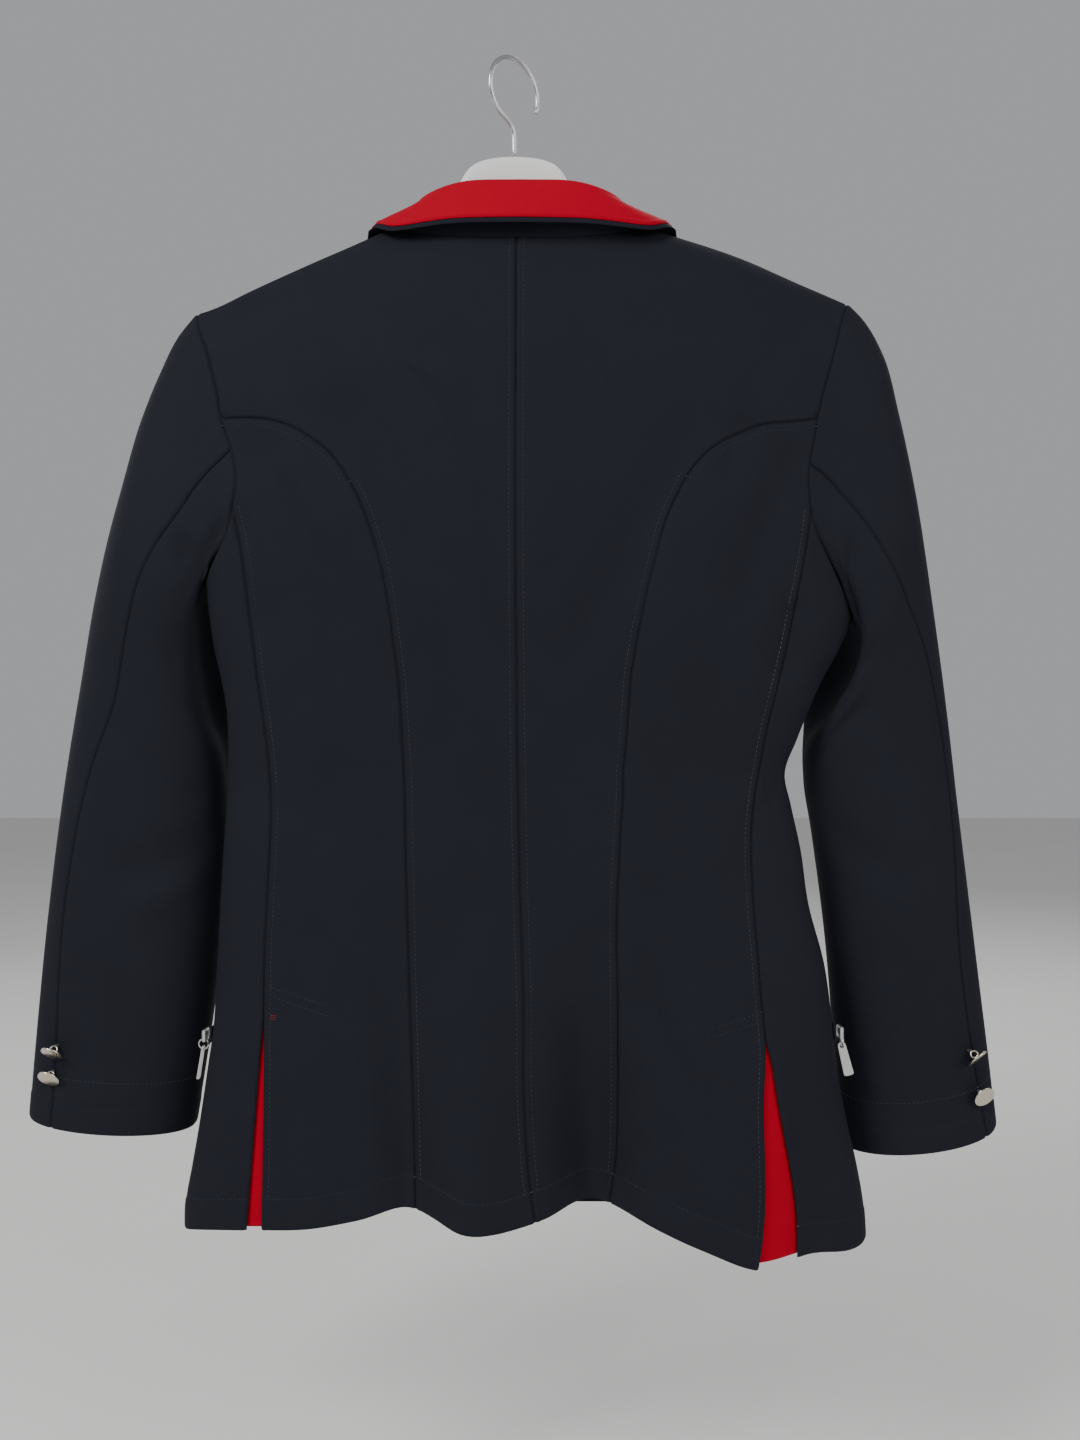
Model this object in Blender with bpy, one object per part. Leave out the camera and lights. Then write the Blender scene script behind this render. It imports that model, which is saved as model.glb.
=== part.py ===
"""Equestrian show jacket that hangs on a hanger from a steel hook.

Every cut and sewn piece is a thin wall of its own. The back faces +Y, the front faces -Y, left means the
wearer's left (+X), and the origin is the highest point inside the hook, where the hook rests.
Sizes are in millimetres, and MM turns them into metres.
"""
import math

import bmesh
import bpy
import numpy as np
from mathutils import Euler, Matrix, Quaternion, Vector

MM = 0.001

CLOTH = 1.6            # thickness of the body and sleeve cloth
TRIM_CLOTH = 1.2       # thickness of the collar, lapel and inset cloth
SEAM_INSET = 0.2       # each piece stops this far short of its seam line
MITRE_LIMIT = 0.5      # least share by which a corner's inset is stretched along its mitre
LAYER_GAP = 0.35       # between a layer and the one that it lies on
INSET_DEPTH = 1.4      # the vent insets lie this far behind the wall
INSET_REACH = 0.0467   # radians that they go on behind the cloth at each side, about 7 mm
INSET_TOP = 3          # they begin this far above the vent's top
INSET_RISE = 1.5       # and end this far above the hem
STEP_TURN = 1e-4       # radians, to read a surface's direction
STEP_LENGTH = 0.05

SIDES = {"left": 1, "right": -1}


def table(columns, *rows):
    """Named columns of a short table."""
    return dict(zip(columns.split(), np.array(rows, float).T))


FULLNESS = ((0.38, 14), (0.62, 95))  # shares of the depth that come over these heights below the shoulder
ROUNDNESS = (0.6, 0.82)  # powers of the section, at the shoulder and below the chest
ROUNDNESS_TOP = -300
ROUNDNESS_RUN = 120
# Half widths to each side, and how far the back and front stand off the hanger's plane.
SECTIONS = table(
    "height left right back front",
    (-110, 234, 246, 44, 46),
    (-167, 231, 242, 44, 50),
    (-200, 222, 236, 44, 52),
    (-242, 213, 226, 43, 53),
    (-299, 207, 219, 42, 52),
    (-348, 205, 221, 40, 50),
    (-372, 202, 224, 39, 48),
    (-392, 199, 216, 38, 47),
    (-412, 194.5, 205, 37, 46),
    (-432, 191, 196, 36, 45),
    (-452, 190, 188, 35, 44),
    (-474, 190, 180, 34.5, 44),
    (-495, 191, 184, 35, 45),
    (-525, 193, 190.5, 37, 46),
    (-560, 195, 195.5, 38, 47),
    (-600, 197, 206, 39, 48),
    (-646, 200, 212, 40, 49),
    (-670, 203.5, 214.5, 40.5, 50),
    (-707, 209, 221.5, 41, 50),
    (-733, 213.5, 227.5, 41.5, 50),
    (-759, 218, 232, 42, 50),
    (-790, 218, 234, 42, 50),
)

# The shoulder seam, where back and front meet over the hanger.
SHOULDER = table(
    "x height",
    (-246, -172), (-222, -161.5), (-190, -148), (-151, -131), (-109, -117), (-92, -112),
    (0, -80), (84, -112), (95, -117), (143, -138), (176, -153), (199, -164), (211, -168), (234, -178),
)

CENTRE_BACK = table(
    "height x",
    (-120, -2), (-362, -2), (-458, -3), (-554, -5), (-617, -7), (-680, -7.5), (-733, -11), (-770, -16),
)

# Its heights at the neck, beside the princess seam's top and the end of its arc, and near the hem.
CENTRE_BACK_ROWS = (-125.5, -222, -342, -760)

# The princess seam from the armhole to the hem.
PRINCESS = table(
    "left_x left_height right_x right_height",
    (192, -242, 198, -245),
    (170, -243, 179, -246),
    (153, -246, 162, -248),
    (137, -253, 146, -254),
    (120, -265, 129, -263),
    (109, -279, 116, -276),
    (99, -297, 106, -293),
    (92, -315, 97, -314),
    (84, -342, 90, -341),
    (79, -372, 83, -371),
    (75, -404, 77, -404),
    (72, -440, 74, -439),
    (70, -476, 71, -478),
    (69, -515, 69, -517),
    (68, -554, 67, -556),
    (67, -594, 67, -595),
    (66, -634, 67, -635),
    (65, -676, 67, -676),
    (64, -716, 66, -716),
    (63, -753, 62, -752),
)

SIDE_SEAM = table(
    "height left right",
    (-299, 183, 194), (-330, 177, 190), (-361, 173, 184), (-393, 169, 178), (-419, 166, 172),
    (-439, 163, 167), (-465, 160, 162), (-495, 158, 157), (-523, 158.5, 155), (-555, 160, 156),
    (-587, 161.5, 158), (-620, 162, 160), (-647, 162, 162), (-680, 162, 160), (-759, 162.5, 158),
    (-790, 163, 153),
)
VENT_TOP = {"left": -633, "right": -645}
VENT_OPENING = {"left": 10, "right": 28}
VENT_EASE = 0.8        # power by which it opens down to the hem

RIDGE_DROP = 0.5       # within this of the shoulder seam the cloth faces up

# The armhole on the back, from the shoulder tip to the underarm; the front is cut deeper.
ARMHOLE = {
    "left": table(
        "height x",
        (-168, 211), (-181, 208), (-196, 202), (-210, 198), (-228, 193.5), (-242, 191.5), (-254, 187),
        (-267, 183), (-287, 181), (-299, 183), (-309, 185), (-322, 190), (-334, 197), (-348, 205),
    ),
    "right": table(
        "height x",
        (-161.5, 222), (-175, 217), (-189, 213), (-207, 208), (-224, 203), (-245, 198), (-258, 196),
        (-274, 193), (-290, 193), (-303, 194), (-319, 199), (-334, 207), (-353, 217), (-372, 224),
    ),
}
FRONT_ARMHOLE_SCOOP = 7

# The height of the hem by the turn round the body, in degrees from the centre back.
HEM = table(
    "turn height",
    (-190, -776), (-130, -777), (-90, -781), (-67, -785), (-53, -781), (-41, -783), (-30, -770),
    (-23, -761), (-17, -753.5), (-10, -753), (-5, -758), (3, -763.5), (9, -762.5), (13, -757),
    (18, -753), (27, -759), (36, -765), (49, -768), (60, -770), (90, -776), (130, -777), (190, -776),
)

# Flutes of the skirt: each one's middle, half width and depth at the hem.
FLUTES = table(
    "x width depth",
    (26, 26, 11), (68, 20, -10), (-50, 22, -26), (-112, 30, 14), (-156, 34, 22),
)
FLUTE_TOP = -540
FLUTE_BOTTOM = -770
RELIEF_FACING = 0.3    # the back's relief fades out over this cosine towards the sides
RELIEF_DROP = 40       # and over this height below the shoulder seam
FOLD_FADE = (0.25, 0.35)  # shares of a fold's run over which it comes and goes

# Long soft folds of the back, each from one point to another.
FOLDS = table(
    "x1 height1 x2 height2 depth width",
    (173, -252, 80, -420, -4, 16),
    (108, -232, 8, -407, -3.5, 18),
    (179, -303, 160, -387, -3, 11),
    (-120, -245, -40, -400, -3.5, 18),
    (-185, -262, -140, -374, -3.5, 14),
    (-185, -361, -175, -413, -3, 10),
)

# The neckline seam, the collar's fold line and its outer edge, from the centre back to the gorge.
NECKLINE = table(
    "left_x left_height right_x right_height",
    (-2, -125.5, 2, -125.5), (28, -124.5, 34, -124.5), (58, -120.5, 65, -119.5), (84, -112, 92, -110),
    (86, -124, 94, -122), (82, -139, 89, -138), (73, -154, 79, -154), (60, -168, 62, -168),
)
NECK_POINT = 3
GORGE = 7
NECK_STATIONS = np.array((0, 1, 2, 2.5, 3, 3.5, 4, 5, 6, 7))
FOLD_LINE = table(
    "left_x right_x y height",
    (-5, 5, 27, -91), (29, 38, 26, -91.5), (52, 61, 19, -95.5), (64, 73, 3, -99),
    (68, 77, -12, -108), (67, 76, -24, -123), (62, 70, -33, -141), (55, 58, -39, -161),
)
COLLAR_EDGE = table(
    "left_x left_height right_x right_height lift",
    (-5, -124, 5, -124, 14), (37, -124, 46, -124, 13), (76, -125, 87, -124, 9), (93, -116, 105, -116, 5.5),
    (100, -131, 110, -130, 5.5), (97, -147, 105, -147, 5.5), (89, -163, 96, -163, 5), (77, -177, 81, -177, 5),
)
FOLD_RADIUS = 3.0
COLLAR_STEP = 0.3      # stations, to read the collar's direction past the bend at the neck point
COLLAR_START = 1.0     # the stand begins this far above the neckline
COLLAR_SEAT = 1.2      # and this far inside the outer face of the back and front
COLLAR_CROWN = 1.5     # the fall's middle stands out by this
COLLAR_KNOTS = (0, 0.2, 0.4, 0.5, 0.6, 0.8, 1.0)  # shares where the collar's section has its points

# Lapels: the roll line runs from the gorge to the break point, under the other front on the left.
BREAK_POINT = {"left": (-14, -292), "right": (-16, -292)}
LAPEL_FOOT = {"left": (3, -266), "right": (13, -288)}
LAPEL_EDGE = {
    "left": ((100, -196), (84, -224), (58, -250), (30, -263), (7, -268)),
    "right": ((103, -196), (86, -226), (56, -256), (22, -279), (-9, -290)),
}
LAPEL_LIFT = (1.8, 4.6, 4.8, 4.2, 3.4)  # off the front, from the roll line to the edge
LAPEL_TOP_DROP = 3     # the lapel begins this far below the gorge
FRONT_OVERLAP = 17
CHEST_DROP = 8         # the chest row's end lies this far below the underarm
UNDERLAP_DEPTH = 3.0
UNDERLAP_X = (38, 78)  # the left front comes out from under the right one between these

# Sleeve rings from the armhole to the cuff: outer and inner edge, how far the inner front reaches in past the
# body, and the seams' turns in degrees.
SLEEVES = {
    "left": table(
        "station outer_x outer_z inner_x inner_z y depth drop reach back_seam front_seam",
        (0, 211, -168, 205, -348, 0, 34, 0, 0, 93, 252),
        (13, 224, -183, 208.5, -353, -2, 34, 0, 2, 92, 252),
        (31, 237, -207, 211, -361, -5, 36, 0, 8, 90, 252),
        (53, 250, -237, 212, -373, -9, 38, 0, 14, 89, 251),
        (83, 263, -279, 212.5, -390, -14, 38, 0, 20, 84, 250),
        (146, 285, -357, 208, -436, -24, 36, 0, 20, 75, 247),
        (187, 296, -411, 200, -464, -29, 34, 0, 12, 68, 244),
        (232, 306, -462, 197.5, -502, -33, 33, 0, 6, 54, 242),
        (334, 322, -569, 204, -598, -38, 31, 0, 2, 43, 239),
        (427, 333, -669, 216, -684, -41, 27.5, 4, 0, 49, 236),
        (467, 337, -712, 222, -719, -42, 26, 5, 0, 50, 235),
    ),
    "right": table(
        "station outer_x outer_z inner_x inner_z y depth drop reach back_seam front_seam",
        (0, 222, -161.5, 224, -372, 0, 34, 0, 0, 93, 252),
        (12, 234, -173, 229, -378, -2, 34, 0, 2, 92, 252),
        (30, 248, -197, 232, -386, -5, 36, 0, 8, 91, 252),
        (53, 258, -231, 231.5, -397, -10, 38, 0, 14, 87, 251),
        (83, 268, -274, 226, -413, -15, 38, 0, 20, 81, 250),
        (120, 278.5, -327, 212.5, -435, -22, 37, 0, 18, 66, 248),
        (157, 288, -381, 200, -454, -27, 35, 0, 6, 46, 245),
        (196, 296, -432, 199, -480, -31, 33, 0, 0, 37, 243),
        (244, 304, -491, 205, -515, -35, 32, 0, 0, 34, 241),
        (338, 318, -595, 216, -597, -39, 30, 1, 0, 46, 238),
        (432, 330, -686, 223, -693, -41, 27.5, 7, 0, 41, 236),
        (467, 334, -718, 225, -730, -42, 26, 9, 0, 36, 235),
    ),
}
SLEEVE_ROUNDNESS = 0.9  # power of the rings' section
SLEEVE_JOIN = 120      # the armhole's own shape has faded out this far down the sleeve
SLEEVE_OWN_FACE = 20   # above this station the sleeve's wall still turns from the body's direction
TIP_COSINES = (-0.2, 0.4)  # cosines of the ring turn between which the wall turns to the body's direction
NOTCH_TURN = {"left": 80, "right": 77}
SIDE_TOP_TURN = {"left": 118, "right": 110}

# How many cells each stretch of a piece has.
FRONT_SHARES = np.array((0, 0.09, 0.2, 0.36, 0.56, 0.78, 1.0))  # columns from the armhole inwards
SIDE_BACK_CELLS = 5
SIDE_CELLS = 3
UPPER_ARMHOLE_CELLS = 4
ARC_CELLS = 8          # rows of the back piece along the princess seam's arc
ROLL_CELLS = 4
CHEST_CELLS = 2
UNDERARM_CELLS = 2
LAPEL_CELLS = 4
INSET_CELLS = 4
ZIP_CELLS = 8
FRONT_SEAM_CELL = 4    # the sleeve's front seam begins at this column of the front armhole
SLEEVE_ROWS = (0, 6, 20, 40, 65, 95, 130, 170, 212, 256, 300, 345, 390, 430, 467)
COLLAR_ROWS = (0, 0.2, 0.38, 0.46, 0.54, 0.62, 0.8, 0.96, 1.0)  # the red collar lacks the last

NAVY = ((0.014, 0.020, 0.031), 0.72, 0.0)
RED = ((0.51, 0.004, 0.015), 0.70, 0.0)
SILVER = ((0.72, 0.71, 0.69), 0.28, 1.0)
STEEL = ((0.50, 0.50, 0.50), 0.32, 1.0)
WHITE = ((0.82, 0.82, 0.80), 0.38, 0.0)
TAPE = ((0.010, 0.013, 0.020), 0.80, 0.0)

HANGER_REACH = {"left": 192, "right": 200}
HANGER_TOP = table(
    "x height",
    (0, -64), (14, -64.6), (24, -67), (31, -72), (36, -81), (42, -95), (48, -106), (58, -113),
    (84, -120.5), (104, -128),
)
HANGER_STATIONS = (0, 12, 24, 31, 36, 42, 48, 58, 84, 104, 128, 152, 172, 187)  # and the tips
HANGER_CLEARANCE = 5.5  # below the shoulder seam
HANGER_TALL = (14, 40)  # at the arms and at the head
HANGER_HALF = 5.2      # half thickness
HANGER_NARROW = (2.0, 3.4)  # half width of its top and bottom faces, at the arms and at the head
HANGER_HEAD = 50       # half width of the head
HANGER_TIP = 14        # the arms grow small over this length
HANGER_TIP_DROP = 2.0
HANGER_TIP_SHRINK = (0.45, 0.4)  # shares of height and thickness that the tips lose
HANGER_HEAD_RUN = 0.7  # share of the head's half width over which it grows to its full height
HANGER_CHAMFER = (5.0, 2.5)  # top and bottom
HOOK_WIRE = 1.6        # radius
HOOK_RADIUS = 22       # to the middle of the wire
HOOK_FACING = (0.70, 0.714)
HOOK_NECK = ((0, -8), (0.8, -4), (3.0, -1))  # the stem's bend into the hook, out and below its lowest point
HOOK_ARC = (-72, 205, 12)  # degrees
HOOK_FOOT = 8          # the stem's straight part above the head

CUFF_BUTTON = 7.5      # radius
FRONT_BUTTON = 10.0
SHANK = (1.9, 2.6)     # radius and height, of the front buttons
BUTTON_FACE = ((0.9, 0.4), (1.0, 1.0), (0.94, 1.7), (0.86, 1.6), (0.5, 2.4), (0.0, 2.7))  # radius share, height
LOOP = (2.3, 0.6)      # ring and wire radius of the loop that a cuff button hangs from
LOOP_SINK = 0.3        # its wire is let this far into the button's back
THREAD = 1.2           # radius of the wound thread between the loop and the cloth
THREAD_LEAST = 1.6     # length
BUTTON_REST = 0.6      # a hanging button's upper edge stays this far off the cloth
BUTTON_SEGMENTS = 14
FRONT_BUTTON_HEIGHTS = (-306, -376, -446, -516)
# Each cuff button's place on the sleeve and the way that it faces as it hangs.
CUFF_BUTTONS = {
    "left": table("station turn x y z", (413, 50.7, 0.22, 0.61, -0.76), (430, 48.7, 0.16, 0.73, -0.66)),
    "right": table("station turn x y z", (403, 49.3, -0.56, 0.44, -0.7), (432, 42.6, -0.3, 0.83, -0.46)),
}

ZIP_HEIGHT = {"left": -649, "right": -647}
ZIP_TURNS = (86, 152)  # degrees round the body
ZIP_WIDTH = 11
ZIP_GAP = 0.9
ZIP_RISE = 10          # the zip's front end is this much higher
SLIDER = (3.0, 10, 8)  # thickness, length and height
SLIDER_TURN = 90       # degrees round the body
SLIDER_GAP = 1.5
SLIDER_BEVEL = 0.7
RING_RADIUS = 3.3
RING_WIRE = 0.6
RING_SEAT = 1.2        # the ring's top is sunk this far into the slider
TAB_THICKNESS = 1.2
TAB_TOP = 2.56         # radius of its upper end
TAB_FOOT = ((3.2, -18.8), (3.2, -19.5), (1.92, -20.2))  # its lower corners, half the width out and down
TAB_ARC_POINTS = 9     # round its upper end
TAB_EYE = 1.5          # radius
EYE_CUTTER = 3         # tab thicknesses that the eye's cutter is long
TAB_LEAN = {"left": 9.0, "right": 14.0}  # degrees off plumb, along the flare of the side


def smooth(keys, values, at):
    """Smooth curve through a table's values, read at the given keys."""
    order = np.argsort(keys)
    keys, values = np.asarray(keys, float)[order], np.asarray(values, float)[order]
    slopes = np.gradient(values, keys)
    at = np.clip(at, keys[0], keys[-1])
    i = np.clip(np.searchsorted(keys, at, side="right") - 1, 0, len(keys) - 2)
    span = keys[i + 1] - keys[i]
    t = (at - keys[i]) / span
    rise = values[i + 1] - values[i]
    start, end = slopes[i] * span, slopes[i + 1] * span
    return values[i] + t * start + t * t * (3 * rise - 2 * start - end) + t ** 3 * (start + end - 2 * rise)


def ease(t):
    """Soft step from 0 to 1."""
    t = np.clip(t, 0, 1)
    return t * t * (3 - 2 * t)


def unit(vectors):
    """Vectors of length 1."""
    return vectors / np.maximum(np.linalg.norm(vectors, axis=-1, keepdims=True), 1e-9)


def shoulder(x):
    """Height of the shoulder seam."""
    return smooth(SHOULDER["x"], SHOULDER["height"], x)


def half_width(to_left, height):
    """Half width of the body, to the left or to the right."""
    widths = [smooth(SECTIONS["height"], SECTIONS[side], height) for side in SIDES]
    return np.where(to_left, *widths)


def turn_at(side, x, height):
    """Signed turn on the back at a distance x to one side of the middle."""
    across = SIDES[side] * np.asarray(x, float)
    return np.arcsin(np.clip(across / half_width(across >= 0, height), -1, 1))


def hem(turn):
    """Height of the hem."""
    return smooth(HEM["turn"], HEM["height"], np.degrees(turn))


def relief(x, height):
    """How far the back's flutes and folds stand out."""
    drop = ease((FLUTE_TOP - height) / (FLUTE_TOP - FLUTE_BOTTOM))
    out = np.zeros_like(x)
    for middle, width, depth in zip(FLUTES["x"], FLUTES["width"], FLUTES["depth"]):
        out = out + drop * depth * np.exp(-((x - middle) / width) ** 2)
    for x1, z1, x2, z2, depth, width in zip(*FOLDS.values()):
        run = math.hypot(x2 - x1, z2 - z1)
        along = ((x - x1) * (x2 - x1) + (height - z1) * (z2 - z1)) / run
        across = ((x - x1) * (z2 - z1) - (height - z1) * (x2 - x1)) / run
        fade_in, fade_out = (share * run for share in FOLD_FADE)
        fade = ease(along / fade_in + 0.5) * ease((run - along) / fade_out + 0.5)
        out = out + depth * fade * np.exp(-(across / width) ** 2)
    return out


def body_point(turn, height):
    """Outer face of the body cloth at a turn from the centre back and a height."""
    turn, height = np.broadcast_arrays(np.asarray(turn, float), np.asarray(height, float))
    x = half_width(np.sin(turn) >= 0, height) * np.sin(turn)
    facing = np.cos(turn)
    back = smooth(SECTIONS["height"], SECTIONS["back"], height)
    front = smooth(SECTIONS["height"], SECTIONS["front"], height)
    drop = shoulder(x) - height
    fullness = sum(share * (1 - np.exp(-drop / run)) for share, run in FULLNESS)
    at_shoulder, below = ROUNDNESS
    roundness = at_shoulder + (below - at_shoulder) * ease((ROUNDNESS_TOP - height) / ROUNDNESS_RUN)
    y = np.where(facing >= 0, back, -front) * np.abs(facing) ** roundness * fullness
    y = y + relief(x, height) * ease(facing / RELIEF_FACING) * ease(drop / RELIEF_DROP)
    return np.stack([x, y, height], axis=-1)


def body_surface(places):
    """Points and outward directions of the body cloth at rows of turn and height."""
    turn, height = places[..., 0], places[..., 1]
    point = body_point(turn, height)
    around = body_point(turn + STEP_TURN, height) - body_point(turn - STEP_TURN, height)
    upward = body_point(turn, height + STEP_LENGTH) - body_point(turn, height - STEP_LENGTH)
    out = unit(np.cross(upward, around))
    x = point[..., 0]
    slope = (shoulder(x + 1) - shoulder(x - 1)) / 2
    ridge = unit(np.stack([-slope, np.zeros_like(x), np.ones_like(x)], axis=-1))
    on_ridge = (shoulder(x) - height < RIDGE_DROP)[..., None]
    return point, np.where(on_ridge, ridge, out)


def armhole_place(side, ring_turn):
    """Turn and height on the body of a point of the armhole, from 0 at the tip round the back to pi below."""
    ring = SLEEVES[side]
    top, bottom = shoulder(SIDES[side] * ring["outer_x"][0]), ring["inner_z"][0]
    height = (top + bottom) / 2 + (top - bottom) / 2 * np.cos(ring_turn)
    x = smooth(ARMHOLE[side]["height"], ARMHOLE[side]["x"], height)
    in_front = np.sin(ring_turn) < -1e-6
    x = x - np.where(in_front, FRONT_ARMHOLE_SCOOP * np.sin(ring_turn) ** 2, 0)
    turn = turn_at(side, x, height)
    return np.stack([np.where(in_front, SIDES[side] * np.pi - turn, turn), height], axis=-1)


def sleeve_point(side, ring_turn, station):
    """Outer face of a sleeve at a turn round its ring and a distance down from the armhole."""
    ring_turn, station = np.broadcast_arrays(np.asarray(ring_turn, float), np.asarray(station, float))
    ring = {name: smooth(SLEEVES[side]["station"], values, station) for name, values in SLEEVES[side].items()}
    start = {name: values[0] for name, values in SLEEVES[side].items()}
    cos, sin = np.cos(ring_turn), np.sin(ring_turn)
    inner_front = 4 * np.minimum(cos, 0) ** 2 * np.minimum(sin, 0) ** 2
    points = []
    for at in (ring, start):
        x = (at["outer_x"] + at["inner_x"]) / 2 + (at["outer_x"] - at["inner_x"]) / 2 * cos
        z = (at["outer_z"] + at["inner_z"]) / 2 + (at["outer_z"] - at["inner_z"]) / 2 * cos
        z = z - at["drop"] * sin
        x = x - at["reach"] * inner_front
        y = at["y"] + at["depth"] * np.sign(sin) * np.abs(sin) ** SLEEVE_ROUNDNESS
        points.append(np.stack([SIDES[side] * x, y, z], axis=-1))
    places = armhole_place(side, ring_turn)
    own_shape = body_point(places[..., 0], places[..., 1]) - points[1]
    return points[0] + own_shape * (1 - ease(station / SLEEVE_JOIN))[..., None]


def sleeve_surface(side):
    """Points and outward directions of one sleeve at rows of ring turn and station."""
    def read(places):
        turn, station = places[..., 0], places[..., 1]
        around = sleeve_point(side, turn + STEP_TURN, station) - sleeve_point(side, turn - STEP_TURN, station)
        later = np.minimum(station + STEP_LENGTH, SLEEVE_ROWS[-1])
        sooner = np.maximum(station - STEP_LENGTH, 0)
        down = sleeve_point(side, turn, later) - sleeve_point(side, turn, sooner)
        out = SIDES[side] * unit(np.cross(down, around))
        _, body_out = body_surface(armhole_place(side, turn))
        low, high = TIP_COSINES
        near_tip = ease((np.cos(turn) - low) / (high - low))
        own = (1 - near_tip * (1 - ease(station / SLEEVE_OWN_FACE)))[..., None]
        return sleeve_point(side, turn, station), unit(body_out * (1 - own) + out * own)
    return read


class Cut:
    """A cut piece: places on a surface and the faces between them."""

    def __init__(self):
        self.places = []
        self.faces = []
        self.known = {}

    def add(self, grid):
        """Adds a grid of places, and joins it to the grids that share its edges."""
        rows, columns = grid.shape[:2]
        ids = [[self.number(grid[i, j]) for j in range(columns)] for i in range(rows)]
        for i in range(rows - 1):
            for j in range(columns - 1):
                a, b, c, d = ids[i][j], ids[i][j + 1], ids[i + 1][j + 1], ids[i + 1][j]
                self.faces += [face for face in ([a, b, c], [a, c, d]) if len(set(face)) == 3]
        return self

    def number(self, place):
        """Number of a place, the same for two that meet."""
        key = (round(float(place[0]), 5), round(float(place[1]), 3))
        if key not in self.known:
            self.known[key] = len(self.places)
            self.places.append(place)
        return self.known[key]


def fill(left, right, top, bottom, shares=None):
    """Grid of places between four edges, with its columns evenly spaced or at the given shares."""
    down = np.linspace(0, 1, len(left))[:, None, None]
    over = (np.linspace(0, 1, len(top)) if shares is None else shares)[None, :, None]
    sides = (1 - over) * left[:, None] + over * right[:, None]
    ends = (1 - down) * top[None] + down * bottom[None]
    corners = (1 - down) * ((1 - over) * top[0] + over * top[-1])
    corners = corners + down * ((1 - over) * bottom[0] + over * bottom[-1])
    return sides + ends - corners


def material(name, finish):
    """Plain material of a piece."""
    colour, roughness, metallic = finish
    made = bpy.data.materials.new(name)
    made.use_nodes = True
    shader = made.node_tree.nodes["Principled BSDF"]
    shader.inputs["Base Color"].default_value = (*colour, 1)
    shader.inputs["Roughness"].default_value = roughness
    shader.inputs["Metallic"].default_value = metallic
    return made


def finish_object(thing, name, finish, angle=50):
    """Names an object, gives it its material, turns its faces outwards and shades it."""
    thing.name = name
    thing.data.name = name
    thing.data.materials.clear()
    thing.data.materials.append(material(name, finish))
    if thing.type == "MESH":
        shape = bmesh.new()
        shape.from_mesh(thing.data)
        bmesh.ops.recalc_face_normals(shape, faces=shape.faces)
        shape.to_mesh(thing.data)
        shape.free()
        thing.data.shade_smooth()
        thing.data.set_sharp_from_angle(angle=math.radians(angle))
    return thing


def mesh_object(name, finish, points, faces, angle=50):
    """Object from points in millimetres and faces."""
    mesh = bpy.data.meshes.new(name)
    mesh.from_pydata([tuple(point) for point in np.asarray(points) * MM], [], faces)
    thing = bpy.data.objects.new(name, mesh)
    bpy.context.scene.collection.objects.link(thing)
    return finish_object(thing, name, finish, angle)


def rim_of(faces):
    """Edges that only one face uses."""
    seen = {}
    for face in faces:
        for start, end in zip(face, face[1:] + face[:1]):
            seen.setdefault(frozenset((start, end)), []).append((start, end, face))
    return [uses[0] for uses in seen.values() if len(uses) == 1]


def wall(name, finish, cut, surface, thickness=CLOTH, lift=None, inset=SEAM_INSET):
    """Closed wall of cloth: the cut on its surface, moved out by lift and given its thickness."""
    points, out = surface(np.array(cut.places))
    rim = rim_of(cut.faces)
    pulls = {}
    for start, end, face in rim:
        along = unit(points[end] - points[start])
        inward = points[face].mean(axis=0) - points[start]
        inward = unit(inward - along * np.dot(inward, along))
        pulls.setdefault(start, []).append(inward)
        pulls.setdefault(end, []).append(inward)
    for corner, both in pulls.items():
        share = max(1 + float(np.dot(both[0], both[-1])), MITRE_LIMIT)
        points[corner] = points[corner] + inset * (both[0] + both[-1]) / share
    if lift is not None:
        points = points + out * np.reshape(lift, (-1, 1))
    count = len(points)
    inner = points - out * thickness
    faces = cut.faces + [[count + i for i in reversed(face)] for face in cut.faces]
    faces += [[end, start, count + start, count + end] for start, end, _ in rim]
    return mesh_object(name, finish, np.concatenate([points, inner]), faces)


def ring_stations(side):
    """Turns round the armhole where pieces meet it: the back half and the front half."""
    notch, side_top = math.radians(NOTCH_TURN[side]), math.radians(SIDE_TOP_TURN[side])
    seam = math.radians(SLEEVES[side]["back_seam"][0])
    upper = np.linspace(0, notch, UPPER_ARMHOLE_CELLS + 1)
    middle = np.append(notch, np.linspace(seam, side_top, SIDE_BACK_CELLS))
    lower = np.linspace(side_top, np.pi, UNDERARM_CELLS + 1)
    front_cells = np.count_nonzero(NECK_STATIONS > NECK_POINT) + ROLL_CELLS + CHEST_CELLS
    front = np.linspace(np.pi, 2 * np.pi, front_cells + 1)
    return upper, middle, lower, front


def princess_places(side):
    """Places of the princess seam, down to the hem."""
    x, height = PRINCESS[side + "_x"], PRINCESS[side + "_height"].copy()
    turn = turn_at(side, x, height)
    start = armhole_place(side, math.radians(NOTCH_TURN[side]))
    turn[0], height[0] = start
    height[-1] = hem(turn[-1])
    return np.stack([turn, height], axis=-1)


def side_heights(side):
    """Heights of the rows at the side seam, with one row at the underarm."""
    top = armhole_place(side, math.radians(SIDE_TOP_TURN[side]))[1]
    underarm = SLEEVES[side]["inner_z"][0]
    turn = turn_at(side, SIDE_SEAM[side][-2], SECTIONS["height"][-2])
    rows = len(PRINCESS["left_x"]) - 1 - UNDERARM_CELLS
    upper = np.linspace(top, underarm, UNDERARM_CELLS + 1)
    return np.append(upper, np.linspace(underarm, hem(turn), rows + 1)[1:])


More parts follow.
